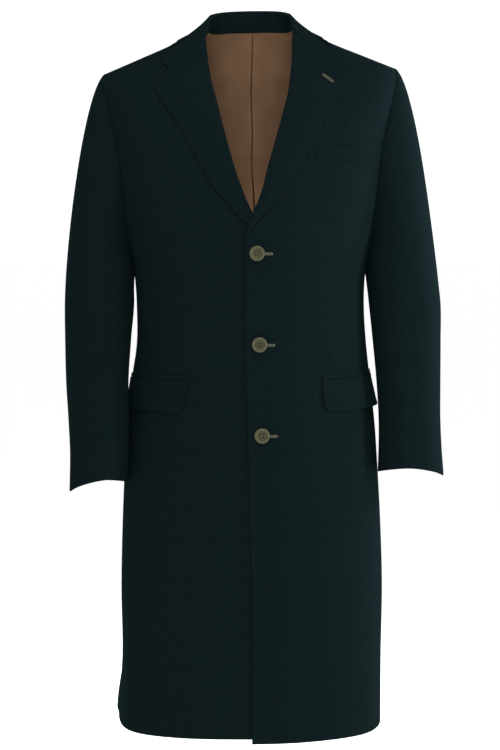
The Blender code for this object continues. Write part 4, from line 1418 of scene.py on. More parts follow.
@dataclass(frozen=True)
class BackLining(ClothPiece):
    """Half of the back lining: both halves rise to a pleat at the centre, the right one dives under it."""

    label = "back_lining"
    supports = ("back",)
    edges = (LINING_ROUND, LINING_ROUND, LINING_ROUND, LINING_ROUND)

    row_counts: Counts = (4, 60, 76, 18)
    columns: int = 44
    pleat_columns: int = 44
    pleat_shares: Pair = (0.930, 0.998)
    width: float = 0.250
    top_z: float = 0.0040
    side_share: float = 0.12
    pleat_lap: float = 0.006
    pleat_top_height: float = 0.0018
    pleat_height: float = 0.0060
    pleat_rise_z: float = -0.030
    pleat_reach: float = 0.034
    pleat_slit: float = 0.0026
    opening_height: float = 0.0060
    opening_width: float = 0.0020
    opening_from_z: float = -0.215
    opening_full_z: float = -0.290

    def stuff(self) -> Stuff:
        """Lining all round."""
        return Stuff.LINING

    def sheets(self) -> tuple[Array, Array]:
        """Outer and inner sheets: the pleat rises by full * (1 - ease(off)), its slit opens lower down."""
        z = self.body.levels(self.top_z, *self.row_counts)
        z = z[z >= self.body.vent_top_z][:, None]
        steps = edged_steps(self.columns, self.width, LINING_ROUND, LINING_ROUND)
        steps = np.sort(np.concatenate([steps, np.linspace(*self.pleat_shares, self.pleat_columns)]))
        across = (self.side_share + (1.0 - self.side_share) * steps)[None, :]
        start = math.pi - self.body.side_turn(self.side, z)
        open_share = 1.0 - ease(z, self.opening_full_z, self.opening_from_z)
        slit = self.pleat_slit + self.opening_width * open_share
        top_share = ease(z, self.pleat_rise_z, self.top_z)
        full = self.pleat_height + self.opening_height * open_share
        full = full + (self.pleat_top_height - self.pleat_height) * top_share
        seam_x = self.side.value * read(PLEAT_LINE, z, "x")
        edge = seam_x - (self.pleat_lap if self.side is Side.RIGHT else 0.0)
        end = math.pi - self.body.turn_of_x(self.side, edge, z)
        turn = start + (end - start) * across
        off = self.body.half_width(self.side, z) * np.sin(turn) - seam_x
        rise = full * (1.0 - ease(off, 0.0, self.pleat_reach))
        under = ease(off / slit, 0.0, 1.0) if self.side is Side.RIGHT else 1.0
        height = -CLOTH - LAY_GAP - rise * under
        outside = self.body.on_back(self.side, turn, z, height)
        return outside, self.body.on_back(self.side, turn, z, height - LINING_CLOTH)


class SleevePart(Enum):
    """Piece of a two-piece sleeve: its name, the turns in degrees of its two seams, and its columns."""

    TOP = ("top_sleeve", -108.0, 144.0, 62)
    UNDER = ("under_sleeve", 144.0, 252.0, 30)


@dataclass(frozen=True)
class Sleeve(ClothPiece):
    """One piece of a two-piece sleeve: a head sprung from the armhole and an oval arm down to the cuff."""

    supports = ("front", "back")
    edges = (SEAM_ROUND, FREE_ROUND, SEAM_ROUND, SEAM_ROUND)

    part: SleevePart = SleevePart.TOP
    rows: int = 110
    arm_z: float = -0.400
    under_front: float = 0.0022
    cap_out: float = 0.22
    cap_rise: float = 0.05
    cap_reach: float = 1.20
    cap_round: float = 0.05
    arm_square: float = 2.6
    arm_turn: float = 0.006
    arm_length: float = 0.310
    arm_radius: float = 0.055
    hem: float = 0.045
    inset: float = 0.0016
    head_inset: float = 0.0030
    inset_by: float = 0.12

    def name(self) -> str:
        """Name of the CAD node."""
        return f"{self.part.value[0]}_{self.side.word}"

    def armhole(self, around: Array) -> Array:
        """Points of the armhole's edge: 0 is the shoulder, a quarter turn is its front."""
        body = self.body
        middle = (body.shoulder_z + body.underarm_z) / 2.0
        z = middle + (body.shoulder_z - body.underarm_z) / 2.0 * np.cos(around)
        half, front, back, side_y, square = body.ring(self.side, z)
        share = body.arm_share(z)
        x = self.side.value * (half * (1.0 - share**square) ** (1.0 / square) - self.under_front)
        y = side_y + share * np.where(np.sin(around) >= 0.0, front, back)
        return np.stack([x, y, z], axis=-1)

    def arm(self, around: Array, z: Array) -> Array:
        """Points of the arm: a flattened oval through its two outlines, turned a little outward."""
        columns = ("outer", "inner", "middle", "depth")
        outer, inner, middle, depth = (read(ARM[self.side], z, name) for name in columns)
        sine, cosine = np.sin(around), np.cos(around)
        power = self.arm_square
        swell = (np.abs(sine) ** power + np.abs(cosine) ** power) ** (-1.0 / power)
        x = self.side.value * ((outer + inner) / 2.0 + (outer - inner) / 2.0 * cosine * swell)
        y = middle - (depth * sine - self.arm_turn * cosine) * swell
        return np.stack(np.broadcast_arrays(x, y, z), axis=-1)

    def cuff_level(self, around: Array) -> Array:
        """Level of the cuff's edge round the sleeve."""
        row = CUFF[self.side]
        rise = (row["front"] + row["back"]) / 2.0 * np.sin(around) ** 2
        rise = rise + (row["front"] - row["back"]) / 2.0 * np.sin(around)
        return row["z"] + row["slant"] * np.cos(around) + rise

    def point(self, around: Array, along: Array) -> Array:
        """Points of the sleeve: along runs from 0 at the armhole, by 1 at the arm, to 2 at the cuff.

        Args:
            around: Turns round the arm from its outer side, a quarter turn in front.
            along: Places along the sleeve.

        Returns:
            Points: a cubic curve from the armhole to the arm, then ovals.
        """
        around, along = np.broadcast_arrays(around, along)
        level = np.full_like(around, self.arm_z)
        start = self.armhole(around)
        end = self.arm(around, level)
        below = self.arm(around, level - TINY)
        length = np.linalg.norm(end - start, axis=-1, keepdims=True)
        leave = np.zeros_like(start)
        leave[..., 0] = self.side.value * self.cap_out
        leave[..., 1] = -self.cap_round * np.sin(around)
        leave[..., 2] = self.cap_rise * np.maximum(np.cos(around), 0.0)
        arrive = unit(below - end) * self.cap_reach
        t = np.minimum(along, 1.0)[..., None]
        head = cubic(t, start, length * leave, end, length * arrive)
        z = self.arm_z + (self.cuff_level(around) - self.arm_z) * (along - 1.0)
        return np.where(along[..., None] < 1.0, head, self.arm(around, z))

    def creases(self, around: Array, along: Array) -> Array:
        """How far the creases of the sleeve stand out."""
        centre = np.radians(SLEEVE_CREASES["around_degrees"])
        across = ((around[..., None] - centre + math.pi) % math.tau - math.pi) * self.arm_radius
        up = (SLEEVE_CREASES["along"] - along[..., None]) * self.arm_length
        return crease_height(SLEEVE_CREASES, self.side, up, across)

    def sheets(self) -> tuple[Array, Array]:
        """Outer and inner sheets."""
        _, first, last, columns = self.part.value
        width = math.radians(last - first) * self.arm_radius
        shares = edged_steps(columns, width, SEAM_ROUND, SEAM_ROUND)
        around = np.radians(first + (last - first) * shares)[None, :]
        along = (2.0 * edged_steps(self.rows, 2.0 * self.arm_length, SEAM_ROUND, FREE_ROUND))[:, None]
        points = self.point(around, along)
        outward = -sheet_normals(points) * self.side.value
        head = 1.0 - ease(along, 0.0, self.inset_by)
        outer_side = (1.0 + np.cos(around)) / 2.0
        sunk = self.head_inset * np.sin(around) ** 2
        relief = self.creases(around, along) - sunk * head - self.inset * outer_side * (1.0 - head)
        inner = points + outward * relief[..., None]
        return inner + outward * CLOTH, inner

    def lined(self, outer: Array) -> Array:
        """Lining above the cuff's turn-up."""
        down = run_lengths(outer, 0)
        return (down[-1:] - down)[:-1, :-1] > self.hem


@dataclass(frozen=True)
class TurnedEdge:
    """A half circle of cloth round the front panel's edge, for lapels and collar."""

    steps: int = 12

    def points(self, centre: Array, outward: Array, away: Array, radius: Array) -> Array:
        """Points of the roll: centre - away * r * cos(a) + outward * r * sin(a), a from -90 to 90 degrees.

        Args:
            centre: Middle of the roll in each row.
            outward: Direction of its outer side.
            away: Direction from the edge towards the leaf.
            radius: Radius of the roll in each row.

        Returns:
            Rows by steps of points.
        """
        angle = np.linspace(-QUARTER, QUARTER, self.steps)[None, :, None]
        round_part = outward[:, None] * np.sin(angle) - away[:, None] * np.cos(angle)
        return centre[:, None] + radius[:, None, None] * round_part


@dataclass(frozen=True)
class Lapel(ClothPiece):
    """Lapel: a leaf on the front, turned round the front's edge to a narrow inner leaf."""

    label = "lapel"
    held = Held.FOLDED
    supports = ("front",)
    edges = (FREE_ROUND, SEAM_ROUND, FREE_ROUND, PRESSED_ROUND)

    columns: int = 46
    rows: int = 130
    leaf_width: float = 0.080
    inner_steps: int = 4
    gorge_lap: float = 0.0014
    belly: float = 0.0012
    belly_fade: float = 0.030
    sink: float = 0.0012
    thin: float = 0.35
    roll: TurnedEdge = TurnedEdge()

    def frame(self, z: Array) -> tuple[Array, Array]:
        """Point on the front panel's edge where a lapel row leaves it, and its outward direction."""
        turn = self.body.turn_of_x(self.side, self.body.panel_edge(self.side, z), z)
        edge = self.body.on_front(self.side, turn, z, 0.0)
        return edge, self.body.normal(self.side, self.body.point(self.side, turn, z))

    def grown(self, z: Array) -> Array:
        """How far a row of the lapel has grown out of the front's edge, from 0 at its lower end to 1."""
        low = LAPEL_ROWS[self.side]["roll_z"][0]
        return ease(z, low, low + self.body.roll_start)

    def leaf(self, start_z: Array, edge_x: Array, edge_z: Array, shares: Array) -> Array:
        """Points along straight lines from the roll to the lapel's edge, with a soft belly.

        Args:
            start_z: Level where each row leaves the roll line.
            edge_x: Place of the lapel's edge in each row, from the middle.
            edge_z: Level of the lapel's edge in each row.
            shares: Shares of the way from the roll to the edge.

        Returns:
            Rows by shares of points, lifted to the leaf's middle.
        """
        start_x = self.body.panel_edge(self.side, start_z)
        x = start_x[:, None] + (edge_x - start_x)[:, None] * shares[None, :]
        z = start_z[:, None] + (edge_z - start_z)[:, None] * shares[None, :]
        grown = self.grown(start_z)[:, None]
        inside = grown * ease(start_z[-1] - start_z, 0.0, self.belly_fade)[:, None]
        lift = leaf_height(shares[None, :]) + self.belly * np.sin(math.pi * shares[None, :]) * inside
        points, outward, lap = self.body.front_ground(self.side, x, z)
        height = lift * grown - self.sink * (1.0 - grown) + lap
        return points + outward * height[..., None]

    def sheets(self) -> tuple[Array, Array]:
        """Outer and inner sheets."""
        rows = LAPEL_ROWS[self.side]
        low, high = rows["roll_z"][0], rows["roll_z"][-1]
        start_z = low + (high - low) * edged_steps(self.rows, high - low, FREE_ROUND, SEAM_ROUND)
        edge_x = read(rows, start_z, "edge_x")
        edge_z = read(rows, start_z, "edge_z")
        start_z = start_z + self.gorge_lap * ease(start_z, low, high)
        edge, outward = self.frame(start_z)
        leaf = self.leaf(start_z, edge_x, edge_z, leaf_steps(self.columns, self.leaf_width))
        away = across_to(leaf[:, -1] - edge, outward)
        body_share = self.thin + (1.0 - self.thin) * self.grown(start_z)
        roll = self.roll.points(edge - outward * CLOTH / 2.0, outward, away, ROLL * body_share)
        back = INNER_LEAF * (1.0 - edged_steps(self.inner_steps, INNER_LEAF))[:-ROUND_STEPS]
        inside = roll[:, :1] + away[:, None] * back[None, :, None]
        thickness = TURNED_CLOTH * body_share[:, None, None]
        return thickened(np.concatenate([inside, roll, leaf], axis=1), thickness)


@dataclass(frozen=True)
class Collar(ClothPiece):
    """Collar: a stand at the neck that folds over into a leaf, with a free corner at each notch."""

    held = Held.FOLDED
    edges = (SEAM_ROUND, SEAM_ROUND, FREE_ROUND, 2.0 * PRESSED_ROUND)

    rows: int = 80
    columns: int = 41
    half_length: float = 0.250
    least_share: float = 0.01
    leaf_width: float = 0.060
    spring: float = 0.40
    ease_height: float = 0.0006
    notch_share: float = 0.80
    notch_from: float = 0.76
    stand_steps: int = 12
    stand_tuck: float = 0.0080
    stand_drop: float = 0.0020
    stand_end_drop: float = 0.0030
    stand_height: float = 0.030
    end_drop_span: Pair = (0.10, 0.40)
    tuck_span: Pair = (0.55, 0.80)
    roll: TurnedEdge = TurnedEdge()

    def name(self) -> str:
        """Name of the CAD node."""
        return "collar"

    def rests_on(self) -> tuple[str, ...]:
        """Backs and fronts of both sides."""
        return "back_left", "back_right", "front_left", "front_right"

    def on_front(self, side: Side, x: Array, z: Array, share: Array) -> Array:
        """Points on the front at the height of a turned leaf."""
        points, outward, lap = self.body.front_ground(side, x, z)
        return points + outward * (leaf_height(share) + lap)[..., None]

    def vertex(self, side: Side) -> Pair:
        """End of the gorge seam, on the lapel's upper edge."""
        rows = LAPEL_ROWS[side]
        start_z = rows["roll_z"][-1:]
        start_x = self.body.panel_edge(side, start_z)
        x = NOTCH[side]["vertex"][0]
        share = (x - start_x) / (rows["edge_x"][-1] - start_x)
        return x, float((start_z + share * (rows["edge_z"][-1] - start_z))[0])

    def lines(self, side: Side) -> list[Array]:
        """Seam, fold, outer edge, opening direction and outer side at each row of the collar's table.

        Args:
            side: Half of the collar.

        Returns:
            Five arrays of points or directions, the last row being the gorge seam's.
        """
        rows = COLLAR_ROWS
        seam = np.stack([side.value * rows["seam_x"], rows["seam_y"], rows["seam_z"]], axis=1)
        fold = np.stack([side.value * rows["fold_x"], rows["fold_y"], rows["fold_z"]], axis=1)
        turn = self.body.turn_of_x(side, rows["edge_x"], rows["edge_z"])
        turn = np.where(rows["behind"] > 0.5, math.pi - turn, turn)
        edge = self.body.point(side, turn, rows["edge_z"])
        edge = edge + self.body.normal(side, edge) * leaf_height(np.ones(1))
        opening = unit(unit(seam - fold) + unit(edge - fold))
        outer = across_to(edge - seam, opening)
        cut, outward = Lapel(self.body, side).frame(LAPEL_ROWS[side]["roll_z"][-1:])
        vertex_x, vertex_z = np.array(self.vertex(side))[:, None]
        vertex = self.on_front(side, vertex_x, vertex_z, np.array([self.notch_share]))
        away = across_to(vertex - cut, outward)
        centre = cut - outward * CLOTH / 2.0
        last = (centre - outward * ROLL + away * INNER_LEAF, centre - away * ROLL, vertex, away, outward)
        return [np.concatenate(pair) for pair in zip((seam, fold, edge, opening, outer), last)]

    def notch_shift(self, side: Side, straight: Array, shares: Array) -> Array:
        """How far the collar's end moves to run along the gorge seam to its notch and on to its corner."""
        vertex_x, vertex_z = self.vertex(side)
        corner_x, corner_z = NOTCH[side]["corner"]
        places = np.array([shares[0], self.notch_share, 1.0])
        x = np.interp(shares, places, [side.value * straight[0, 0], vertex_x, corner_x])
        z = np.interp(shares, places, [straight[0, 2], vertex_z, corner_z])
        return self.on_front(side, x, z, shares) - straight

    def half(self, side: Side, along: Array) -> Array:
        """Middle sheet of one half of the collar, from the centre back to the gorge seam.

        Args:
            side: Half of the collar.
            along: Shares of the way from the centre back to the gorge seam.

        Returns:
            Rows by columns of points: a straight stand, the roll, then a parabola down to the outer edge.
        """
        places = np.append(COLLAR_ROWS["share"], 1.0)
        seam, fold, edge, opening, outer = (
            np.stack([smooth(along, places, line[:, axis]) for axis in range(3)], axis=1)
            for line in self.lines(side)
        )
        opening = unit(opening)
        outer = across_to(outer, opening)
        roll = self.roll.points(fold + opening * ROLL, outer, opening, np.full(len(along), ROLL))
        shares = leaf_steps(self.columns, self.leaf_width)
        t = shares[None, :, None]
        begin = roll[:, -1:]
        end = edge[:, None]
        spring = begin + opening[:, None] * self.spring * np.linalg.norm(end - begin, axis=2, keepdims=True)
        leaf = (1.0 - t) ** 2 * begin + 2.0 * t * (1.0 - t) * spring + t**2 * end
        gorge = ease(along, self.notch_from, 1.0)
        leaf = leaf + gorge[:, None, None] * self.notch_shift(side, leaf[-1], shares)[None]
        loose = self.ease_height * (1.0 - gorge)[:, None]
        leaf = self.body.cleared(side, leaf, leaf_height(shares)[None, :] + loose)
        rise = edged_steps(self.stand_steps, self.stand_height)[:-ROUND_STEPS]
        stand = seam[:, None] + (roll[:, :1] - seam[:, None]) * rise[None, :, None]
        middle = np.array([0.0, float(COLLAR_ROWS["seam_y"][-1]), 0.0])
        inward = unit((middle - seam) * (1.0 - UP))
        drop = self.stand_drop + self.stand_end_drop * ease(along, *self.end_drop_span)
        tuck = inward * self.stand_tuck - drop[:, None] * UP
        low = (1.0 - rise)[None, :] * (1.0 - ease(along, *self.tuck_span))[:, None]
        stand = stand + tuck[:, None] * low[..., None]
        return np.concatenate([stand, roll, leaf], axis=1)

    def sheets(self) -> tuple[Array, Array]:
        """Outer and inner sheets, the two halves joined at the centre back."""
        along = edged_steps(self.rows, self.half_length, FREE_ROUND, SEAM_ROUND)
        along = np.concatenate([[0.0], along[along > self.least_share]])
        right = self.half(Side.RIGHT, along)
        left = self.half(Side.LEFT, along)
        return thickened(np.concatenate([right[::-1], left[1:]]), TURNED_CLOTH)


@dataclass(frozen=True)
class Strip(ClothPiece):
    """A strip laid on a front: its length runs along the ring and its depth down."""

    held = Held.LAID
    supports = ("front",)

    samples: int = 400
    columns: int = 60
    rows: int = 12
    length: float = 0.155
    height: float = 0.048
    thick: float = 0.0022
    gap: float = 0.0003

    def along(self) -> Array:
        """Lengths of the columns from the strip's start."""
        return self.length * edged_steps(self.columns, self.length)

    def turns(self, start_x: float, z: float, lengths: Array) -> Array:
        """Turns on the front at lengths along its ring from a starting point."""
        start = float(self.body.turn_of_x(self.side, np.array(start_x), np.array(z)))
        turns = np.linspace(start, start + QUARTER, self.samples)
        points = self.body.point(self.side, turns, np.full_like(turns, z))
        run = run_lengths(points[:, None], 0)[:, 0]
        return np.interp(lengths, run, turns)

    def laid(
        self, place: Pair, rise: float, depth: Array, gap: Array | float
    ) -> tuple[Array, Array]:
        """Outer and inner sheets of a strip.

        Args:
            place: Start of its top edge, from the middle, and that edge's level.
            rise: How far the top edge rises over the length.
            depth: How far each point lies below the top edge.
            gap: Gap under each point.

        Returns:
            The two sheets.
        """
        along = self.along()
        turn = self.turns(place[0], place[1], along)[None, :]
        z = place[1] + rise * (along / along[-1])[None, :] - depth
        outer = self.body.on_front(self.side, turn, z, gap + self.thick)
        return outer, self.body.on_front(self.side, turn, z, gap)


@dataclass(frozen=True)
class Welt(Strip):
    """Welt of the breast pocket on the left front."""

    columns: int = 40
    length: float = 0.092
    height: float = 0.0225
    thick: float = 0.0012
    gap: float = 0.0001
    place: Pair = (0.1005, -0.1916)
    rise: float = 0.0085

    def name(self) -> str:
        """Name of the CAD node."""
        return "breast_welt"

    def sheets(self) -> tuple[Array, Array]:
        """Outer and inner sheets."""
        depth = self.height * edged_steps(self.rows, self.height)[:, None]
        return self.laid(self.place, self.rise, depth, self.gap)


@dataclass(frozen=True)
class PocketJet(Strip):
    """Narrow strip over a pocket flap."""

    label = "pocket_jet"

    rows: int = 5
    top_z: float = -0.529
    height: float = 0.0065
    thick: float = 0.0014

    def sheets(self) -> tuple[Array, Array]:
        """Outer and inner sheets."""
        row = POCKET[self.side]
        depth = self.height * edged_steps(self.rows, self.height, self.thick / 2.0)[:, None]
        return self.laid((row["front_x"], self.top_z), row["rise"], depth, self.gap)


@dataclass(frozen=True)
class PocketFlap(Strip):
    """Pocket flap with a rounded lower front corner, its back end standing off a little."""

    label = "pocket_flap"

    columns: int = 70
    rows: int = 24
    top_z: float = -0.5358
    corner: float = 0.012
    belly: float = 0.0008

    def sheets(self) -> tuple[Array, Array]:
        """Outer and inner sheets: the lower edge follows a quarter circle at the front corner."""
        row = POCKET[self.side]
        along = self.along()
        from_end = np.minimum(along, self.corner)
        taken = self.corner - np.sqrt(self.corner**2 - (self.corner - from_end) ** 2)
        down = edged_steps(self.rows, self.height)[:, None]
        depth = down * (self.height - taken)[None, :]
        lift = row["back_lift"] * down**2 * ease(along, 0.0, self.length)[None, :]
        gap = self.gap + lift + self.belly * np.sin(math.pi * down) ** 2
        return self.laid((row["front_x"], self.top_z), row["rise"], depth, gap)


@dataclass(frozen=True)
class Buttonhole:
    """Worked buttonhole: a bead of thread round a slit, thicker at every stitch."""

    body: Body
    name: str
    start: Pair
    end: Pair
    lift: float = 0.0
    width: float = 0.0022
    bead: float = 0.00095
    stitch: float = 0.0010
    ripple: float = 0.16
    sides: int = 10
    stitch_points: int = 4
    raised: float = 0.35

    def build(self) -> Object:
        """Make the bead: an oval on the left front, its radius 1 + ripple * cos of the stitch's turn."""
        start, end = np.array(self.start), np.array(self.end)
        length = float(np.linalg.norm(end - start))
        forward = (end - start) / length
        count = int(round(2.0 * length / self.stitch)) * self.stitch_points
        oval = stadium(length, self.width, count)
        sideways = np.array([-forward[1], forward[0]])
        middle = (start + end) / 2.0
        x, z = middle[:, None] + np.outer(forward, oval[:, 0]) + np.outer(sideways, oval[:, 1])
        ground, outward, lap = self.body.front_ground(Side.LEFT, x, z)
        height = lap + self.lift + self.bead * self.raised
        path = ground + outward * height[:, None]
        stitch_turn = np.arange(count) * math.tau / self.stitch_points
        radius = self.bead * (1.0 + self.ripple * np.cos(stitch_turn))
        points, faces, uv = closed_tube(path, outward, radius, self.sides)
        return add_mesh(self.name, self.body.leant(points), faces, uv, np.zeros(len(faces)))

    def dress(self, piece: Object, finishes: Finishes) -> None:
        """Give the bead its thread."""
        piece.data.materials.append(finishes.thread)
        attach(piece, "root")


@dataclass(frozen=True)
class Button:
    """A four-hole button with a raised rim, its thread, and the thread's shank under it."""

    body: Body
    word: str
    place: Pair
    shank: float = 0.0012
    hole_radius: float = 0.00120
    hole_spread: float = 0.0031
    holes: int = 4
    steps: int = 64
    rows: int = 45
    hole_steps: int = 20
    sharp_degrees: float = 40.0
    rim_span: Pair = (0.0066, 0.0084)
    thread: float = 0.00060
    thread_sides: int = 8
    loop_steps: int = 72
    layers: Pair = (0.5, 1.3)
    twin: float = 0.45

    def setting(self) -> tuple[Array, Array]:
        """Where the button's back lies, and the directions of its own axes as rows."""
        x, z = np.array([self.place[0]]), np.array([self.place[1]])
        ground, (outward,), (lap,) = self.body.front_ground(Side.LEFT, x, z)
        sideways = across_to(np.array([1.0, 0.0, 0.0]), outward)
        axes = np.stack([sideways, np.cross(outward, sideways), outward])
        return self.body.leant(ground)[0] + outward * (lap + self.shank), axes

    def set_on(self, points: Array) -> Array:
        """Points of the button's own frame, set on the coat."""
        place, axes = self.setting()
        return place + points @ axes

    def blank(self) -> bpy.types.Mesh:
        """The turned blank: the profile carried round its axis, with a pole at either end."""
        knots = np.arange(len(BUTTON_PROFILE["radius"]), dtype=float)
        rows = np.linspace(0.0, knots[-1], self.rows)
        radius = np.maximum(smooth(rows, knots, BUTTON_PROFILE["radius"]), 0.0)[1:-1]
        height = smooth(rows, knots, BUTTON_PROFILE["height"])
        rings = ring_points(radius, height[1:-1, None], self.steps)
        index = closed(np.arange(len(rings)).reshape(-1, self.steps))
        top, bottom = len(rings), len(rings) + 1
        caps = [(top, int(a), int(b)) for a, b in zip(index[0, :-1], index[0, 1:])]
        caps += [(bottom, int(b), int(a)) for a, b in zip(index[-1, :-1], index[-1, 1:])]
        points = np.concatenate([rings, [[0.0, 0.0, height[0]], [0.0, 0.0, height[-1]]]])
        mesh = bpy.data.meshes.new("button_blank")
        mesh.from_pydata(points.tolist(), [], grid_faces(index)[:, ::-1].tolist() + caps)
        return mesh

    def drill(self, angle: float) -> Object:
        """A round tool for one hole."""
        centre = self.hole_spread * np.array([math.cos(angle), math.sin(angle), 0.0])
        deep = 2.0 * float(BUTTON_PROFILE["height"].max())
        rings = ring_points(np.full(2, self.hole_radius), np.array([[-deep], [deep]]), self.hole_steps)
        index = np.arange(len(rings)).reshape(2, -1)
        ends = [index[0, ::-1].tolist(), index[1].tolist()]
        mesh = bpy.data.meshes.new("button_drill")
        mesh.from_pydata((centre + rings).tolist(), [], grid_faces(closed(index)).tolist() + ends)
        return add_object("button_drill", mesh)

    def build(self) -> Object:
        """Turn the blank, drill its holes and set it on the coat."""
        blank = add_object("button_blank", self.blank())
        tools = [self.drill(QUARTER * (hole + 0.5)) for hole in range(self.holes)]
        for tool in tools:
            cut = blank.modifiers.new("Hole", "BOOLEAN")
            cut.operation = "DIFFERENCE"
            cut.solver = "EXACT"
            cut.object = tool
        bpy.context.view_layer.update()
        graph = bpy.context.evaluated_depsgraph_get()
        mesh = bpy.data.meshes.new_from_object(blank.evaluated_get(graph))
        for helper in [blank, *tools]:
            bpy.data.objects.remove(helper, do_unlink=True)
        points = np.empty(3 * len(mesh.vertices), np.float32)
        mesh.vertices.foreach_get("co", points)
        points = points.reshape(-1, 3)
        # mask for the horn's painted shade: 0 in the dish, 1 on the rim
        rim = ease(np.hypot(points[:, 0], points[:, 1]), *self.rim_span)
        mesh.attributes.new(RIM, "FLOAT", "POINT").data.foreach_set("value", rim.astype(np.float32))
        mesh.vertices.foreach_set("co", self.set_on(points).astype(np.float32).ravel())
        mesh.polygons.foreach_set("use_smooth", np.ones(len(mesh.polygons), bool))
        mesh.set_sharp_from_angle(angle=math.radians(self.sharp_degrees))
        mesh.name = f"button_{self.word}_horn"
        return add_object(mesh.name, mesh)

    def sew(self) -> Object:
        """Two crossed loops of double thread, each up through one hole, across the face and down another."""
        span = 2.0 * (self.hole_spread - self.hole_radius / 2.0)
        strands = []
        for turn, layer in zip((QUARTER / 2.0, -QUARTER / 2.0), self.layers):
            top = float(BUTTON_PROFILE["height"][0]) + self.thread * layer
            loop = stadium(span, top + self.shank, self.loop_steps)
            along = np.array([math.cos(turn), math.sin(turn), 0.0])
            across = np.cross(UP, along)
            outward = np.outer(loop[:, 0], along) + np.outer(loop[:, 1], UP)
            radius = np.full(len(loop), self.thread / 2.0)
            for twin in (-self.twin, self.twin):
                path = outward + across * twin * self.thread + UP * (top - self.shank) / 2.0
                strands.append(closed_tube(path, unit(outward), radius, self.thread_sides))
        starts = np.cumsum([0] + [len(strand[0]) for strand in strands[:-1]])
        points = np.concatenate([strand[0] for strand in strands])
        faces = np.concatenate([strand[1] + start for strand, start in zip(strands, starts)])
        uv = np.concatenate([strand[2] for strand in strands])
        return add_mesh(f"button_{self.word}_thread", self.set_on(points), faces, uv, np.zeros(len(faces)))

    def dress(self, piece: Object, thread: Object, finishes: Finishes) -> None:
        """Give the button its horn and its thread.

        Args:
            piece: The drilled button.
            thread: Its sewing.
            finishes: The coat's materials.
        """
        piece.data.materials.clear()
        piece.data.materials.append(finishes.horn)
        thread.data.materials.append(finishes.thread)
        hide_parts(f"button_{self.word}")
        for item in (piece, thread):
            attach(item, "root")


@dataclass(frozen=True)
class Lamp:
    """A soft oblong lamp: where it stands, where it points, its width and height, and its power."""

    name: str
    place: Triple
    aim: Triple
    size: Pair
    watts: float

    def build(self) -> None:
        """Hang the lamp."""
        light = bpy.data.lights.new(self.name, "AREA")
        light.shape = "RECTANGLE"
        light.size, light.size_y = self.size
        light.energy = self.watts
        lamp = add_object(self.name, light)
        lamp.location = self.place
        lamp.visible_camera = False
        towards = unit(np.array(self.aim) - np.array(self.place))
        lamp.rotation_euler = (math.acos(-towards[2]), 0.0, math.atan2(towards[1], towards[0]) - QUARTER)


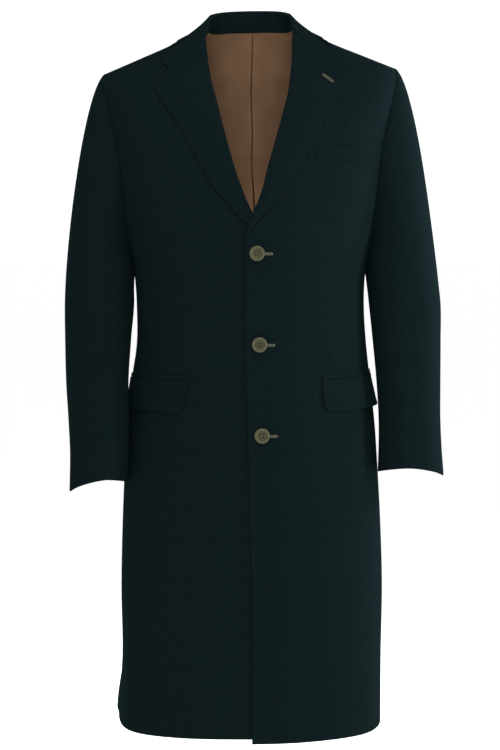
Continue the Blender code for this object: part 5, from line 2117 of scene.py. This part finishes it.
@dataclass(frozen=True)
class Studio:
    """Pale floor, pale surround, soft lamps and the camera at the photograph's angle."""

    floor_z: float = -1.50
    floor_radius: float = 400.0
    floor_rings: int = 7
    floor_steps: int = 64
    surround: Pair = (1.10, 0.0)
    surround_span: Pair = (0.22, 0.34)
    lamps: tuple[Lamp, ...] = (
        Lamp("lamp_front", (0.0, -3.20, -1.10), (0.0, -0.05, -0.50), (0.80, 0.60), 32.0),
        Lamp("lamp_front_high", (0.0, -2.00, 1.80), (0.0, -0.05, -0.50), (1.20, 0.60), 37.5),
        Lamp("lamp_above", (0.0, -0.80, 2.00), (0.0, -0.05, -0.50), (1.20, 0.60), 41.0),
        Lamp("lamp_beside", (1.25, -0.25, -0.35), (0.0, -0.05, -0.50), (0.30, 1.20), 18.5),
        Lamp("lamp_arm", (1.30, 0.30, -0.15), (0.28, -0.02, -0.35), (0.30, 0.60), 16.0),
        Lamp("lamp_behind", (-1.20, 3.00, 0.20), (0.0, 0.05, -0.50), (1.00, 1.00), 70.0),
    )
    camera_place: Triple = (0.0, -3.2, -0.35)
    camera_pitch: float = -3.32
    lens: float = 98.717
    sensor: float = 36.0

    def floor(self) -> None:
        """A large round floor: rings of points at growing radii."""
        radius = self.floor_radius * np.linspace(0.0, 1.0, self.floor_rings + 1)[1:] ** 2
        rings = ring_points(radius, np.array(self.floor_z), self.floor_steps)
        index = np.arange(len(rings)).reshape(-1, self.floor_steps)
        faces = grid_faces(closed(index))[:, ::-1].tolist() + [index[0].tolist()]
        mesh = bpy.data.meshes.new("floor")
        mesh.from_pydata(rings.tolist(), [], faces)
        mesh.materials.append(FloorFinish().make())
        ground = add_object("floor", mesh)

    def world(self) -> None:
        """A surround that is white near the horizon and dark overhead."""
        world = bpy.data.worlds.new("surround")
        world.use_nodes = True
        nodes, links = world.node_tree.nodes, world.node_tree.links
        place = nodes.new("ShaderNodeTexCoord")
        split = nodes.new("ShaderNodeSeparateXYZ")
        shade = nodes.new("ShaderNodeMapRange")
        shade.inputs["From Min"].default_value, shade.inputs["From Max"].default_value = self.surround_span
        shade.inputs["To Min"].default_value, shade.inputs["To Max"].default_value = self.surround
        links.new(place.outputs["Generated"], split.inputs["Vector"])
        links.new(split.outputs["Z"], shade.inputs["Value"])
        sky = nodes["Background"]
        sky.inputs["Color"].default_value = (1.0, 1.0, 1.0, 1.0)
        links.new(shade.outputs["Result"], sky.inputs["Strength"])
        bpy.context.scene.world = world

    def camera(self) -> None:
        """The camera, level but for a small pitch."""
        data = bpy.data.cameras.new("camera")
        data.lens = self.lens
        data.sensor_width = self.sensor
        camera = add_object("camera", data)
        camera.location = self.camera_place
        camera.rotation_euler = (QUARTER + math.radians(self.camera_pitch), 0.0, 0.0)
        bpy.context.scene.camera = camera

    def build(self) -> None:
        """Set up the studio."""
        self.floor()
        self.world()
        for lamp in self.lamps:
            lamp.build()
        self.camera()
        bpy.context.scene.view_settings.view_transform = "Standard"


def cloth_pieces(body: Body) -> list[ClothPiece]:
    """Every cloth piece of the coat, in the order that they are sewn."""
    pieces: list[ClothPiece] = []
    for side in Side:
        pieces += [
            Front(body, side),
            Back(body, side),
            BackLining(body, side),
            Sleeve(body, side, SleevePart.TOP),
            Sleeve(body, side, SleevePart.UNDER),
            Lapel(body, side),
            PocketJet(body, side),
            PocketFlap(body, side),
        ]
    return pieces + [Welt(body, Side.LEFT), Collar(body, Side.LEFT)]


def buttonholes(body: Body) -> list[Buttonhole]:
    """The three buttonholes of the left front and the one of its lapel."""
    reach_back, reach_on, down = 0.003, 0.0222, 0.0007
    holes = [
        Buttonhole(body, f"buttonhole_{word}", (x - reach_back, z - down), (x + reach_on, z - down))
        for word, (x, z) in BUTTON_PLACES.items()
    ]
    return holes + [Buttonhole(body, "buttonhole_lapel", *LAPEL_HOLE, LAPEL_HOLE_LIFT)]


def main() -> None:
    """Build and dress the coat, then the studio."""
    logging.basicConfig(level=logging.INFO, format="%(name)s: %(message)s")
    body = Body()
    finishes = Finishes(
        WoolFinish().make(), LiningFinish().make(), HornFinish().make(), ThreadFinish().make()
    )
    for part in [*cloth_pieces(body), *buttonholes(body)]:
        piece = part.build()
        part.dress(piece, finishes)
        LOG.info("%s: %d faces", piece.name, len(piece.data.polygons))
    for word, place in BUTTON_PLACES.items():
        button = Button(body, word, place)
        piece = button.build()
        button.dress(piece, button.sew(), finishes)
        LOG.info("%s: %d faces", piece.name, len(piece.data.polygons))
    Studio().build()


if __name__ == "__main__":
    main()
